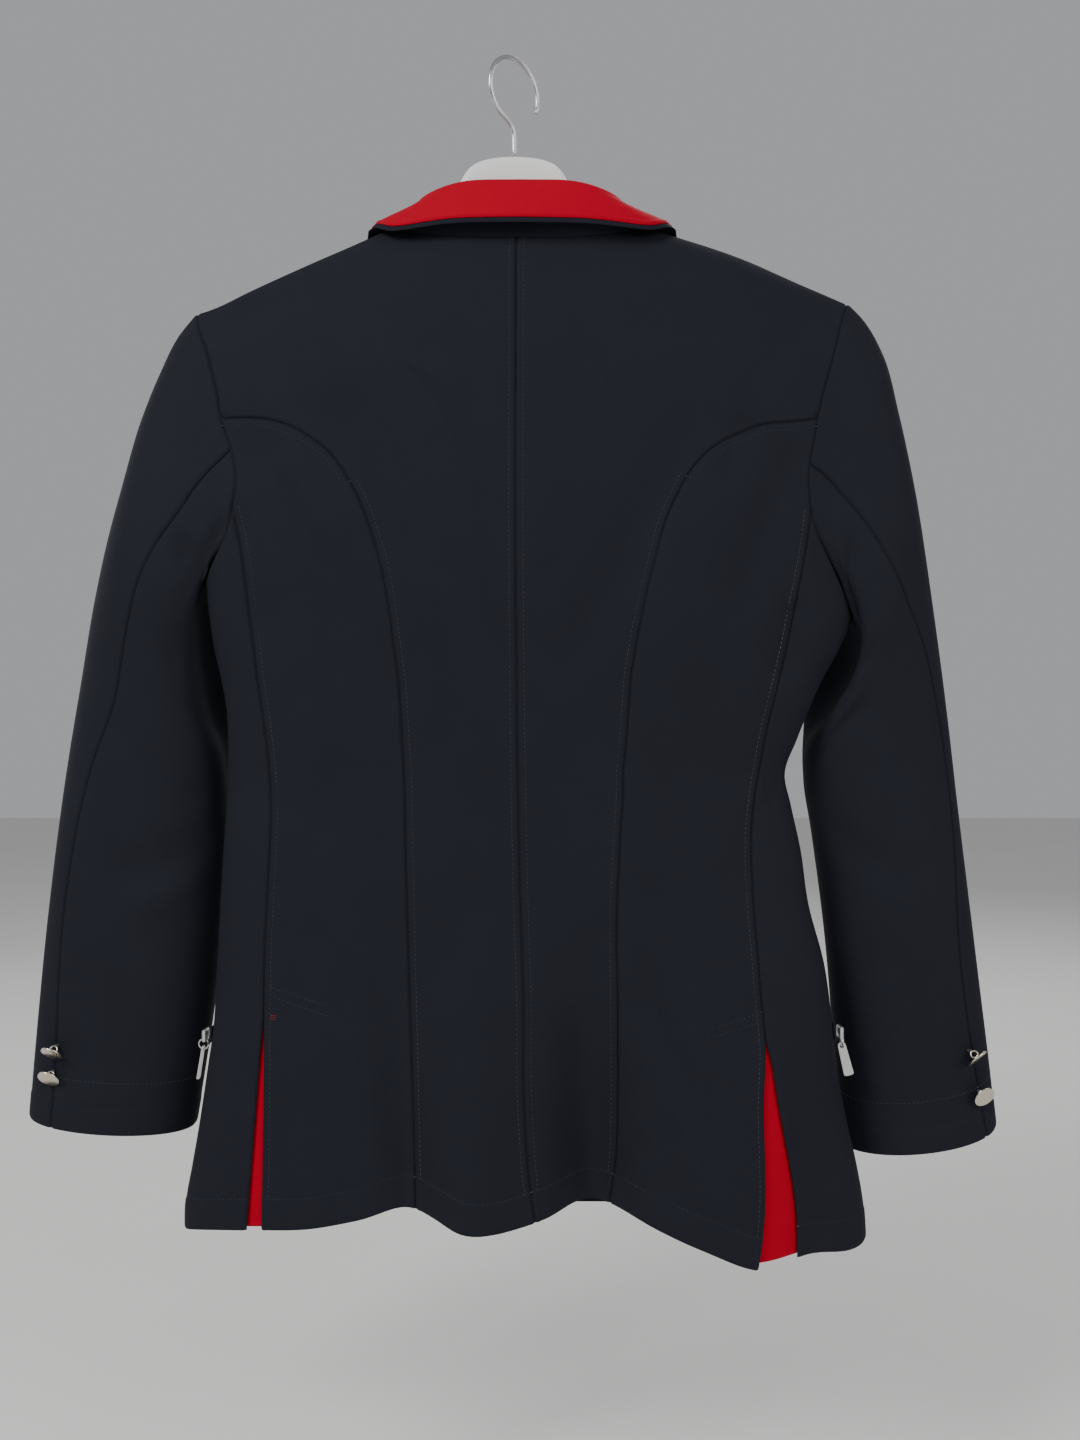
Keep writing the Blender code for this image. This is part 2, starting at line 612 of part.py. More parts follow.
def side_places(side, of_front):
    """Places of the side seam and of one edge of the vent below it."""
    height = side_heights(side)
    x = smooth(SIDE_SEAM["height"], SIDE_SEAM[side], height)
    if of_front:
        open_share = np.clip((VENT_TOP[side] - height) / (VENT_TOP[side] - height[-1]), 0, 1)
        x = x + VENT_OPENING[side] * open_share ** VENT_EASE
    turn = turn_at(side, x, height)
    turn[0] = armhole_place(side, math.radians(SIDE_TOP_TURN[side]))[0]
    height[-1] = hem(turn[-1])
    return np.stack([turn, height], axis=-1)


def hem_places(start, end, shares):
    """Places of the hem between two turns, at shares of the way."""
    turn = start + (end - start) * np.asarray(shares)
    return np.stack([turn, hem(turn)], axis=-1)


def neck_places(side, station, line=NECKLINE):
    """Places of a line round the neck at the given stations, counted from the centre back to the gorge."""
    keys = np.arange(GORGE + 1)
    heights = line[side + "_height"].copy()
    heights[NECK_POINT] = shoulder(SIDES[side] * line[side + "_x"][NECK_POINT])
    x = smooth(keys, line[side + "_x"], station)
    height = np.minimum(smooth(keys, heights, station), shoulder(SIDES[side] * x))
    turn = turn_at(side, x, height)
    return np.stack([np.where(station > NECK_POINT, SIDES[side] * np.pi - turn, turn), height], axis=-1)


def shoulder_places(side):
    """Places of the shoulder seam from the neck point to the tip, on the back."""
    neck = NECKLINE[side + "_x"][NECK_POINT]
    tip = SLEEVES[side]["outer_x"][0]
    x = (tip + (neck - tip) * FRONT_SHARES)[::-1]
    height = shoulder(SIDES[side] * x)
    return np.stack([turn_at(side, x, height), height], axis=-1)


def to_front(side, places):
    """The same places on the front, for a line where back and front meet."""
    return np.stack([SIDES[side] * np.pi - places[:, 0], places[:, 1]], axis=-1)


def build_back(side):
    """Centre back piece, from the centre back seam to the armhole and the princess seam."""
    upper = armhole_place(side, ring_stations(side)[0])
    outer = np.concatenate([upper, princess_places(side)[1:]])
    neck = neck_places(side, NECK_STATIONS[NECK_STATIONS <= NECK_POINT])
    top = np.concatenate([neck, shoulder_places(side)[1:]])
    outer[0] = top[-1]
    rows = len(outer) - 1
    arc_end = UPPER_ARMHOLE_CELLS + ARC_CELLS
    height = np.interp(range(rows + 1), (0, UPPER_ARMHOLE_CELLS, arc_end, rows), CENTRE_BACK_ROWS)
    x = SIDES[side] * smooth(CENTRE_BACK["height"], CENTRE_BACK["x"], height)
    turn = turn_at(side, x, height)
    height[-1] = hem(turn[-1])
    middle = np.stack([turn, height], axis=-1)
    top[0] = middle[0]
    bottom = hem_places(middle[-1, 0], outer[-1, 0], np.linspace(0, 1, len(top)))
    wall("back_" + side, NAVY, Cut().add(fill(middle, outer, top, bottom)), body_surface)


def build_side_back(side):
    """Side back piece, from the princess seam to the side seam and the vent."""
    inner, outer = princess_places(side), side_places(side, False)
    top = armhole_place(side, ring_stations(side)[1])
    bottom = hem_places(inner[-1, 0], outer[-1, 0], np.linspace(0, 1, len(top)))
    wall("side_back_" + side, NAVY, Cut().add(fill(inner, outer, top, bottom)), body_surface)


def front_edge(side):
    """Places of the front's free edge: neckline, roll line and centre front, in three stretches."""
    neck = neck_places(side, NECK_STATIONS[NECK_STATIONS >= NECK_POINT])
    neck[0] = to_front(side, neck[:1])[0]
    underarm = SLEEVES[side]["inner_z"][0]
    break_x, break_z = BREAK_POINT[side]
    roll_x = np.linspace(NECKLINE[side + "_x"][GORGE], break_x, ROLL_CELLS + 1)
    roll_z = np.linspace(NECKLINE[side + "_height"][GORGE], break_z, ROLL_CELLS + 1)
    roll = to_front(side, np.stack([turn_at(side, roll_x, roll_z), roll_z], axis=-1))
    rows = len(PRINCESS["left_x"]) - 1 - UNDERARM_CELLS
    chest_z = np.linspace(break_z, underarm - CHEST_DROP, CHEST_CELLS + 1)
    skirt_z = np.linspace(underarm - CHEST_DROP, hem(SIDES[side] * np.pi), rows + 1)
    chest, skirt = [
        to_front(side, np.stack([turn_at(side, np.full_like(z, -FRONT_OVERLAP), z), z], axis=-1))
        for z in (chest_z, skirt_z)
    ]
    chest[0] = roll[-1]
    return neck, roll, chest, skirt


def build_front(side):
    """Front piece, from the side seam and vent round to its overlap at the centre front."""
    neck, roll, chest, skirt = front_edge(side)
    _, _, lower_ring, front_ring = ring_stations(side)
    seam = side_places(side, True)
    quarter = SIDES[side] * np.pi / 2
    rows = len(seam) - UNDERARM_CELLS
    underarm = armhole_place(side, np.array([np.pi]))[0]
    fold_z = np.linspace(underarm[1], hem(quarter), rows)
    fold_line = np.stack([np.full(rows, quarter), fold_z], axis=-1)
    fold_line[0] = underarm
    across = np.linspace(0, 1, SIDE_CELLS + 1)[:, None]
    side_row = seam[UNDERARM_CELLS] * (1 - across) + underarm * across
    across = FRONT_SHARES[:, None]
    chest_row = underarm * (1 - across) + skirt[0] * across
    cut = Cut()
    side_hem = hem_places(seam[-1, 0], quarter, np.linspace(0, 1, SIDE_CELLS + 1))
    cut.add(fill(seam[UNDERARM_CELLS:], fold_line, side_row, side_hem))
    front_hem = hem_places(quarter, skirt[-1, 0], FRONT_SHARES)
    cut.add(fill(fold_line, skirt, chest_row, front_hem, FRONT_SHARES))
    corner = armhole_place(side, lower_ring)
    corner[0], corner[-1] = seam[0], underarm
    point = np.repeat(seam[:1], SIDE_CELLS + 1, axis=0)
    cut.add(fill(seam[:UNDERARM_CELLS + 1], corner, point, side_row))
    armhole = armhole_place(side, front_ring[::-1])
    top = to_front(side, shoulder_places(side))[::-1]
    armhole[0], armhole[-1] = top[0], underarm
    edge = np.concatenate([neck, roll[1:], chest[1:]])
    edge[0] = top[-1]
    cut.add(fill(armhole, edge, top, chest_row, FRONT_SHARES))
    lift = None
    if side == "left":
        x = body_point(np.array(cut.places)[:, 0], np.array(cut.places)[:, 1])[:, 0]
        in_front = np.cos(np.array(cut.places)[:, 0]) < 0
        start, end = UNDERLAP_X
        lift = np.where(in_front, -UNDERLAP_DEPTH * (1 - ease((x - start) / (end - start))), 0)
    wall("front_" + side, NAVY, cut, body_surface, lift=lift)


def build_lapel(side):
    """Lapel, turned back over the front along the roll line."""
    _, roll, _, _ = front_edge(side)
    gorge_x, gorge_z = NECKLINE[side + "_x"][GORGE], NECKLINE[side + "_height"][GORGE]
    foot_x, foot_z = LAPEL_FOOT[side]
    share = np.linspace(0, 1, len(LAPEL_EDGE[side]))
    break_x, break_z = BREAK_POINT[side]
    toward = (foot_z - gorge_z) / (break_z - gorge_z)
    root_x = gorge_x + (break_x - gorge_x) * toward * share
    root_z = gorge_z - LAPEL_TOP_DROP + (foot_z - gorge_z + LAPEL_TOP_DROP) * share
    edge_x, edge_z = np.array(LAPEL_EDGE[side], float).T
    across = np.linspace(0, 1, LAPEL_CELLS + 1)
    grid_x = root_x[:, None] + (edge_x - root_x)[:, None] * across
    grid_z = root_z[:, None] + (edge_z - root_z)[:, None] * across
    turn = SIDES[side] * np.pi - turn_at(side, grid_x, grid_z)
    cut = Cut().add(np.stack([turn, grid_z], axis=-1))
    lift = np.tile(LAPEL_LIFT, len(share))
    wall("lapel_" + side, NAVY, cut, body_surface, TRIM_CLOTH, lift)


def collar_stations():
    """Signed numbers of the collar's stations, from the right gorge round the back to the left."""
    return np.concatenate([-NECK_STATIONS[:0:-1], NECK_STATIONS])


def collar_lines(station):
    """Neckline, fold line and outer edge of the collar at signed stations."""
    size = np.abs(station)
    keys = np.arange(GORGE + 1)
    to_left = (station >= 0)[:, None]
    neck, out = body_surface(np.where(to_left, *[neck_places(side, size) for side in SIDES]))
    neck = neck - out * COLLAR_SEAT
    fold_x, y, height = [smooth(keys, FOLD_LINE[name], size) for name in ("left_x", "y", "height")]
    right_x = -smooth(keys, FOLD_LINE["right_x"], size)
    fold = np.stack([np.where(station >= 0, fold_x, right_x), y, height], axis=-1)
    edge, away = body_surface(np.where(to_left, *[neck_places(side, size, COLLAR_EDGE) for side in SIDES]))
    edge = edge + away * smooth(keys, COLLAR_EDGE["lift"], size)[:, None]
    return neck, fold, edge


def collar_surface(places):
    """Points of the under collar's upper face and its direction, at rows of station and share."""
    def point(station, share):
        neck, fold, edge = collar_lines(station)
        outward = unit((edge - neck) * (1, 1, 0) + unit(fold * (1, 1, 0)) * 0.01)
        low = fold - outward * FOLD_RADIUS - (0, 0, FOLD_RADIUS)
        far = fold + outward * FOLD_RADIUS - (0, 0, FOLD_RADIUS)
        middle = (far + edge) / 2 + outward * COLLAR_CROWN
        start = neck + unit(low - neck) * COLLAR_START
        knots = np.stack([start, (start + low) / 2, low, fold, far, middle, edge])
        keys = np.array(COLLAR_KNOTS)
        slopes = np.gradient(knots, keys, axis=0)
        i = np.clip(np.searchsorted(keys, share, side="right") - 1, 0, len(keys) - 2)
        span = (keys[i + 1] - keys[i])[:, None]
        t = (share - keys[i])[:, None] / span
        rows = np.arange(len(share))
        here, there = knots[i, rows], knots[i + 1, rows]
        start_slope, end_slope = slopes[i, rows] * span, slopes[i + 1, rows] * span
        rise = there - here
        return (here + t * start_slope + t * t * (3 * rise - 2 * start_slope - end_slope)
                + t ** 3 * (start_slope + end_slope - 2 * rise))

    station, share = places[..., 0], places[..., 1]
    before = np.clip(station - COLLAR_STEP, -GORGE, GORGE)
    after = np.clip(station + COLLAR_STEP, -GORGE, GORGE)
    over = point(after, share) - point(before, share)
    down = point(station, np.clip(share + 1e-3, 0, 1)) - point(station, np.clip(share - 1e-3, 0, 1))
    return point(station, share), unit(np.cross(over, down))


def build_collar():
    """Under collar and the red top collar that lies on it."""
    for name, finish, rows, lift in (
        ("under_collar", NAVY, COLLAR_ROWS, 0.0),
        ("top_collar", RED, COLLAR_ROWS[:-1], LAYER_GAP + TRIM_CLOTH),
    ):
        grid = np.stack(np.meshgrid(collar_stations(), rows), axis=-1)
        cut = Cut().add(grid)
        wall(name, finish, cut, collar_surface, TRIM_CLOTH, np.full(len(cut.places), lift))


def build_sleeve(side):
    """Upper and under sleeve, between the back seam and the front seam."""
    upper, middle, lower, front = ring_stations(side)
    around = np.concatenate([upper, middle[1:], lower[1:], front[1:]])
    rows = np.array(SLEEVE_ROWS, float)
    ring = SLEEVES[side]
    back_start, front_start = math.radians(ring["back_seam"][0]), front[FRONT_SEAM_CELL]
    back_seam = np.radians(smooth(ring["station"], ring["back_seam"], rows))
    front_seam = smooth(ring["station"], ring["front_seam"], rows)
    front_seam = front_start + np.radians(front_seam - ring["front_seam"][0])
    full = 2 * np.pi
    under_start = around[(around > back_start - 1e-6) & (around < front_start + 1e-6)]
    outer = around[around < back_start + 1e-6]
    outer = np.concatenate([around[(around > front_start - 1e-6) & (around < full - 1e-6)] - full, outer])
    for name, first, start, end in (
        ("under_sleeve_", under_start, back_seam, front_seam),
        ("upper_sleeve_", outer, front_seam - full, back_seam),
    ):
        share = (first - first[0]) / (first[-1] - first[0])
        turns = start[:, None] + (end - start)[:, None] * share
        stations = np.broadcast_to(rows[:, None], turns.shape)
        cut = Cut().add(np.stack([turns, stations], axis=-1))
        wall(name + side, NAVY, cut, sleeve_surface(side))


def build_vent_inset(side):
    """Red inset behind the vent."""
    back_edge, front_side = side_places(side, False), side_places(side, True)
    first = int(np.argmax(back_edge[:, 1] < VENT_TOP[side])) - 1
    start, end = back_edge[first:].copy(), front_side[first:].copy()
    start[:, 0] -= SIDES[side] * INSET_REACH
    end[:, 0] += SIDES[side] * INSET_REACH
    for line in (start, end):
        line[0, 1] = VENT_TOP[side] - INSET_TOP
        line[-1, 1] = hem(line[-1, 0]) + INSET_RISE
    cut = Cut()
    share = np.linspace(0, 1, INSET_CELLS + 1)[None, :, None]
    cut.add(start[:, None] * (1 - share) + end[:, None] * share)
    depth = np.full(len(cut.places), -CLOTH - INSET_DEPTH)
    wall("vent_inset_" + side, RED, cut, body_surface, TRIM_CLOTH, depth)


def aim(thing, place, facing):
    """Puts an object at a place, with its +Z along a direction."""
    thing.location = Vector(place) * MM
    thing.rotation_mode = "QUATERNION"
    thing.rotation_quaternion = Vector(facing).to_track_quat("Z", "Y")


def turned(name, finish, profile, segments):
    """Round object spun from a profile of radius and height, closed at the axis."""
    points = [(0.0, 0.0, profile[0][1])]
    faces = []
    ring_points = profile[1:-1]
    for radius, height in ring_points:
        for k in range(segments):
            angle = 2 * math.pi * k / segments
            points.append((radius * math.cos(angle), radius * math.sin(angle), height))
    points.append((0.0, 0.0, profile[-1][1]))
    for k in range(segments):
        after = (k + 1) % segments
        faces.append([0, 1 + after, 1 + k])
        for ring in range(len(ring_points) - 1):
            base = 1 + ring * segments
            faces.append([base + k, base + after, base + segments + after, base + segments + k])
        last = 1 + (len(ring_points) - 1) * segments
        faces.append([last + k, last + after, len(points) - 1])
    return mesh_object(name, finish, points, faces, 35)


def front_button(name, place, facing):
    """Domed metal button on a shank."""
    shank, rise = SHANK
    profile = [(0, 0), (shank, 0), (shank, rise)]
    profile += [(FRONT_BUTTON * share, rise + height) for share, height in BUTTON_FACE]
    aim(turned(name, SILVER, profile, BUTTON_SEGMENTS), place, facing)


def cuff_button(name, foot, out, facing):
    """Domed metal button that hangs from a wire loop, which is sewn to the cloth."""
    profile = [(0, 0)] + [(CUFF_BUTTON * share, height) for share, height in BUTTON_FACE]
    ring_radius, wire = LOOP
    to_back = 2 * ring_radius + wire - LOOP_SINK
    cosine = float(np.dot(out, facing))
    sine = math.sqrt(max(0, 1 - cosine ** 2))
    length = max(CUFF_BUTTON * sine + BUTTON_REST - to_back * cosine, THREAD_LEAST)
    end = foot + out * length
    disc = turned(name, SILVER, profile, BUTTON_SEGMENTS)
    aim(disc, end + facing * to_back, facing)
    bpy.ops.mesh.primitive_torus_add(
        major_radius=ring_radius * MM, minor_radius=wire * MM, major_segments=14, minor_segments=6)
    ring = bpy.context.object
    ring.name = "loop_" + name
    axis = Vector(np.array([0, 1, 0]) - facing * facing[1]).normalized()
    along = Vector(facing)
    ring.matrix_world = Matrix((along, axis.cross(along), axis)).transposed().to_4x4()
    ring.location = Vector(end + facing * ring_radius) * MM
    combine(disc, ring, "UNION")
    thread = [(0, 0), (THREAD, 0), (THREAD, length - LAYER_GAP), (0, length - LAYER_GAP)]
    stalk = turned("thread_" + name, SILVER, thread, BUTTON_SEGMENTS)
    aim(stalk, foot + out * LAYER_GAP, out)
    combine(disc, stalk, "UNION")


def build_buttons():
    """Two buttons on each cuff, and the row on the right front."""
    for side, rows in CUFF_BUTTONS.items():
        for k, (station, turn, x, y, z) in enumerate(zip(*rows.values()), 1):
            place = np.array([[math.radians(turn), station]])
            point, out = sleeve_surface(side)(place)
            cuff_button(f"cuff_button_{side}_{k}", point[0], out[0], unit(np.array([x, y, z])))
    for k, height in enumerate(FRONT_BUTTON_HEIGHTS, 1):
        point, out = body_surface(np.array([[-math.pi, height]]))
        front_button(f"front_button_{k}", point[0] + out[0] * LAYER_GAP, out[0])


def cutter(thing):
    """Marks an object as a tool that only shapes another."""
    thing.hide_render = True
    thing.display_type = "WIRE"
    return thing


def combine(thing, other, operation):
    """Boolean of another object on this one."""
    step = thing.modifiers.new(other.name, "BOOLEAN")
    step.operation = operation
    step.object = cutter(other)


def block(name, finish, size, place, bevel):
    """Box with rounded edges."""
    bpy.ops.mesh.primitive_cube_add(size=1)
    thing = bpy.context.object
    for vertex in thing.data.vertices:
        vertex.co = [c * s * MM for c, s in zip(vertex.co, size)]
    thing.location = [c * MM for c in place]
    edge = thing.modifiers.new("edges", "BEVEL")
    edge.width = bevel * MM
    edge.segments = 1
    return finish_object(thing, name, finish)


def zip_place(side, turn_degrees):
    """Turn and height of the middle of the pocket zip."""
    first, last = ZIP_TURNS
    height = ZIP_HEIGHT[side] + ZIP_RISE * (turn_degrees - first) / (last - first)
    return np.stack([SIDES[side] * np.radians(turn_degrees), height + 0 * turn_degrees], axis=-1)


def build_zip(side):
    """Pocket zip on the front, with its slider at the side and the tab that hangs from the slider."""
    along = zip_place(side, np.linspace(*ZIP_TURNS, ZIP_CELLS + 1))
    grid = np.stack([along + (0, ZIP_WIDTH / 2), along - (0, ZIP_WIDTH / 2)], axis=1)
    cut = Cut().add(grid)
    band = TRIM_CLOTH + ZIP_GAP
    wall("zip_band_" + side, TAPE, cut, body_surface, TRIM_CLOTH, np.full(len(cut.places), band))
    point, _ = body_surface(zip_place(side, np.array([float(SLIDER_TURN)])))
    thickness, length, height = SLIDER
    face = abs(point[0, 0]) + band + SLIDER_GAP
    sign = SIDES[side]
    middle = np.array([sign * (face + thickness / 2), 0, point[0, 2]])
    slider = block("zip_slider_" + side, SILVER, SLIDER, middle, SLIDER_BEVEL)
    ring_x = sign * (face + thickness - RING_WIRE / 2)
    ring_z = point[0, 2] - height / 2 - RING_RADIUS + RING_SEAT
    turned_to = (0, math.pi / 2, 0) if side == "right" else (math.pi / 2, 0, 0)
    bpy.ops.mesh.primitive_torus_add(
        major_radius=RING_RADIUS * MM, minor_radius=RING_WIRE * MM, major_segments=14, minor_segments=6,
        location=(ring_x * MM, 0, ring_z * MM), rotation=turned_to)
    ring = bpy.context.object
    ring.name = "ring_" + side
    combine(slider, ring, "UNION")
    lean = math.radians(TAB_LEAN[side]) if side == "left" else 0
    build_tab(side, (ring_x + RING_RADIUS * math.sin(lean), 0, ring_z - RING_RADIUS * math.cos(lean)))


def build_tab(side, hinge):
    """Pull tab that swings on the slider's ring; its origin is on the ring's wire."""
    bpy.ops.mesh.primitive_cylinder_add(vertices=12, radius=1, depth=1)
    eye = bpy.context.object
    eye.name = "eye_" + side
    eye.scale = (TAB_EYE * MM, TAB_EYE * MM, EYE_CUTTER * TAB_THICKNESS * MM)
    turns = np.linspace(0, math.pi, TAB_ARC_POINTS)
    outline = [(TAB_TOP * math.cos(turn), TAB_TOP * math.sin(turn)) for turn in turns]
    outline += [(-x, y) for x, y in TAB_FOOT]
    outline += TAB_FOOT[::-1]
    count = len(outline)
    points = [(x, y, s * TAB_THICKNESS / 2) for s in (-1, 1) for x, y in outline]
    faces = [list(range(count))[::-1], list(range(count, 2 * count))]
    faces += [[k, (k + 1) % count, count + (k + 1) % count, count + k] for k in range(count)]
    tab = mesh_object("zip_tab_" + side, SILVER, points, faces, 35)
    combine(tab, eye, "DIFFERENCE")
    upright = Euler((math.pi / 2, 0, math.pi / 2 if side == "left" else 0)).to_quaternion()
    lean = Quaternion((0, 1, 0), -SIDES[side] * math.radians(TAB_LEAN[side]))
    for thing in (tab, eye):
        thing.location = [c * MM for c in hinge]
        thing.rotation_mode = "QUATERNION"
        thing.rotation_quaternion = lean @ upright


def build_hanger():
    """Hanger body: arms under the shoulder seams and a head below the hook."""
    right = [-x for x in HANGER_STATIONS[:0:-1]]
    stations = [-HANGER_REACH["right"], *right, *HANGER_STATIONS, HANGER_REACH["left"]]
    last_head = HANGER_TOP["x"][-1]
    points, faces = [], []
    for x in stations:
        size = abs(x)
        head = smooth(HANGER_TOP["x"], HANGER_TOP["height"], size)
        top = head if size < last_head else shoulder(x) - HANGER_CLEARANCE
        at_tip = ease((size - (HANGER_REACH["left" if x > 0 else "right"] - HANGER_TIP)) / HANGER_TIP)
        at_head = ease((HANGER_HEAD - size) / (HANGER_HEAD_RUN * HANGER_HEAD))
        lower_by, thinner_by = HANGER_TIP_SHRINK
        tall = np.interp(at_head, (0, 1), HANGER_TALL) * (1 - lower_by * at_tip)
        top = top - HANGER_TIP_DROP * at_tip
        half = HANGER_HALF * (1 - thinner_by * at_tip)
        narrow = np.interp(at_head, (0, 1), HANGER_NARROW)
        low = top - tall
        upper, lower = HANGER_CHAMFER
        shape = [(narrow, top), (half, top - upper), (half, low + lower), (narrow, low)]
        shape += [(-y, z) for y, z in reversed(shape)]
        points += [(x, y, z) for y, z in shape]
    sides = 8
    for k in range(len(stations) - 1):
        for j in range(sides):
            a, b = k * sides + j, k * sides + (j + 1) % sides
            faces.append([a, b, b + sides, a + sides])
    faces.append(list(range(sides)))
    faces.append(list(range((len(stations) - 1) * sides, len(stations) * sides))[::-1])
    mesh_object("hanger", WHITE, points, faces, 60)


def build_hook():
    """Steel wire hook: a stem out of the hanger's head and a round hook above it."""
    along_x, along_y = HOOK_FACING
    centre = HOOK_WIRE - HOOK_RADIUS
    head = HANGER_TOP["height"][0]
    stem = [(0, head + LAYER_GAP), (0, head + HOOK_FOOT)]
    stem += [(out, centre - HOOK_RADIUS + below) for out, below in HOOK_NECK]
    arc = []
    for degrees in range(*HOOK_ARC):
        angle = math.radians(degrees)
        arc.append((HOOK_RADIUS * math.cos(angle), centre + HOOK_RADIUS * math.sin(angle)))
    wire = bpy.data.curves.new("hook", "CURVE")
    wire.dimensions = "3D"
    wire.bevel_depth = HOOK_WIRE * MM
    wire.bevel_resolution = 2
    wire.use_fill_caps = True
    line = wire.splines.new("POLY")
    path = stem + arc
    line.points.add(len(path) - 1)
    for point, (out, height) in zip(line.points, path):
        point.co = (out * along_x * MM, out * along_y * MM, height * MM, 1)
    thing = bpy.data.objects.new("hook", wire)
    bpy.context.scene.collection.objects.link(thing)
    finish_object(thing, "hook", STEEL)


def main():
    """Builds the jacket, the hanger and the hook."""
    for thing in list(bpy.data.objects):
        bpy.data.objects.remove(thing)
    for side in SIDES:
        build_back(side)
        build_side_back(side)
        build_front(side)
        build_lapel(side)
        build_sleeve(side)
        build_vent_inset(side)
        build_zip(side)
    build_collar()
    build_buttons()
    build_hanger()
    build_hook()


main()
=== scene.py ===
"""Equestrian show jacket on its hanger: its cloth, stitching, trims and finishes, over the fixed frame.

The back faces +Y, the front faces -Y, and left is the wearer's left (+X). The origin is the highest point
inside the hook. Sizes are in millimetres, and MM turns them into metres.
"""

import logging
import math
from dataclasses import dataclass, field
from enum import Enum
from typing import Any, Callable, Optional, Sequence, Union

import bmesh
import bpy
import numpy as np
from mathutils import Matrix, Vector

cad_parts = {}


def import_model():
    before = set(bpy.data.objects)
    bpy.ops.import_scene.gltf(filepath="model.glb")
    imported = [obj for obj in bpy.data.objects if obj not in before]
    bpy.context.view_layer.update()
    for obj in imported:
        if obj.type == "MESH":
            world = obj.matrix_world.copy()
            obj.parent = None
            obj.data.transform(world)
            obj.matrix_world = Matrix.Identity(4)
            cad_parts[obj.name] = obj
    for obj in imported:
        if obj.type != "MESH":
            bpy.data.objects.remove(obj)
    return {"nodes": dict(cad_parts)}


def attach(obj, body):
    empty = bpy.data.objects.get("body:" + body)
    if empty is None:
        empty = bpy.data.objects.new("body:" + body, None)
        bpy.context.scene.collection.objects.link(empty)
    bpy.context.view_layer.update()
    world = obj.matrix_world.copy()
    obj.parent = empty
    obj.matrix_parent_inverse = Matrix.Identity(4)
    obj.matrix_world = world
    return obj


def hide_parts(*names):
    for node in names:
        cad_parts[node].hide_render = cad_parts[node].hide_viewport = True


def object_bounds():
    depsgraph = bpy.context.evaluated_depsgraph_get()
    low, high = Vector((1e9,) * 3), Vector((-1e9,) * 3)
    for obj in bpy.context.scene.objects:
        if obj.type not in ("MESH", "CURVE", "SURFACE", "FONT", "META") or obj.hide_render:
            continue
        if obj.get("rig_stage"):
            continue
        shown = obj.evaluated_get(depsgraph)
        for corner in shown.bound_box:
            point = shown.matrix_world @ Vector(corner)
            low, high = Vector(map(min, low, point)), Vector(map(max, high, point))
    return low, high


MM = 0.001
JACKET = "jacket"
Array = np.ndarray
Table = dict[str, Array]
Surface = Callable[[Array], tuple[Array, Array]]
Curve = Callable[[Array], Array]
Number = Union[int, float]
Colour = tuple[float, float, float]

log = logging.getLogger(JACKET)


class Side(Enum):
    """The wearer's sides."""

    LEFT = 1
    RIGHT = -1

    @property
    def word(self) -> str:
        """The side's name in lower case."""
        return self.name.lower()


class Slot(Enum):
    """The record's material slots."""

    NAVY = "navy_softshell"
    RED = "red_softshell"
    SILVER = "silver_metal"
    BUTTON = "button_metal"
    TAPE = "zip_tape"
    PLASTIC = "hanger_plastic"
    STEEL = "hook_steel"


def table(columns: str, *rows: Sequence[Number]) -> Table:
    """Named columns of a short table.

    Args:
        columns: the columns' names, with spaces between them.
        rows: one row of numbers for each section or fold.

    Returns:
        One array for each column.
    """
    return dict(zip(columns.split(), np.array(rows, float).T))


def rows_of(columns: str, *rows: Sequence[Number]) -> Any:
    """A dataclass field that holds a table."""
    return field(default_factory=lambda: table(columns, *rows))


def sides(left: Any, right: Any) -> Any:
    """A dataclass field that holds one value for each side."""
    return field(default_factory=lambda: {Side.LEFT: left, Side.RIGHT: right})


def pair(first: Array, second: Array) -> Array:
    """Places from two values each."""
    return np.stack([first, second], axis=-1)


def cubic(share: Array, start: Array, end: Array, leave: Array, arrive: Array) -> Array:
    """Smooth curve between two values.

    Args:
        share: where it is read, from 0 to 1.
        start: the first value.
        end: the second value.
        leave: the slope at the first.
        arrive: the slope at the second.

    Returns:
        The curve's values there.
    """
    rise = end - start
    bend = share * share * (3 * rise - 2 * leave - arrive)
    return start + share * leave + bend + share ** 3 * (leave + arrive - 2 * rise)


def smooth(keys: Array, values: Array, at: Array) -> Array:
    """Smooth curve through a table's values.

    Args:
        keys: where the values stand, in any order.
        values: the values.
        at: where the curve is read.

    Returns:
        The curve's values there.
    """
    order = np.argsort(keys)
    keys, values = np.asarray(keys, float)[order], np.asarray(values, float)[order]
    slopes = np.gradient(values, keys)
    at = np.clip(at, keys[0], keys[-1])
    i = np.clip(np.searchsorted(keys, at, side="right") - 1, 0, len(keys) - 2)
    span = keys[i + 1] - keys[i]
    return cubic((at - keys[i]) / span, values[i], values[i + 1], slopes[i] * span, slopes[i + 1] * span)


def ease(t: Array) -> Array:
    """Soft step from 0 to 1."""
    t = np.clip(t, 0, 1)
    return t * t * (3 - 2 * t)


def bell(distance: Array, width: Number) -> Array:
    """Soft bump that is 1 in its middle."""
    return np.exp(-((distance / width) ** 2))


def unit(vectors: Array) -> Array:
    """Vectors of length 1."""
    return vectors / np.maximum(np.linalg.norm(vectors, axis=-1, keepdims=True), 1e-9)


def lengths(points: Array) -> Array:
    """Distance of each point of a line from its start."""
    return np.append(0, np.linalg.norm(np.diff(points, axis=0), axis=1).cumsum())


def read(at: Array, keys: Array, values: Array) -> Array:
    """Points or directions read between those of a line."""
    return np.stack([np.interp(at, keys, values[:, k]) for k in range(3)], axis=-1)


def line(places: Array) -> Curve:
    """Smooth line through places at even steps, as a function from shares of the way to places."""
    keys = np.linspace(0, 1, len(places))
    return lambda share: pair(*[smooth(keys, places[:, k], share) for k in range(2)])


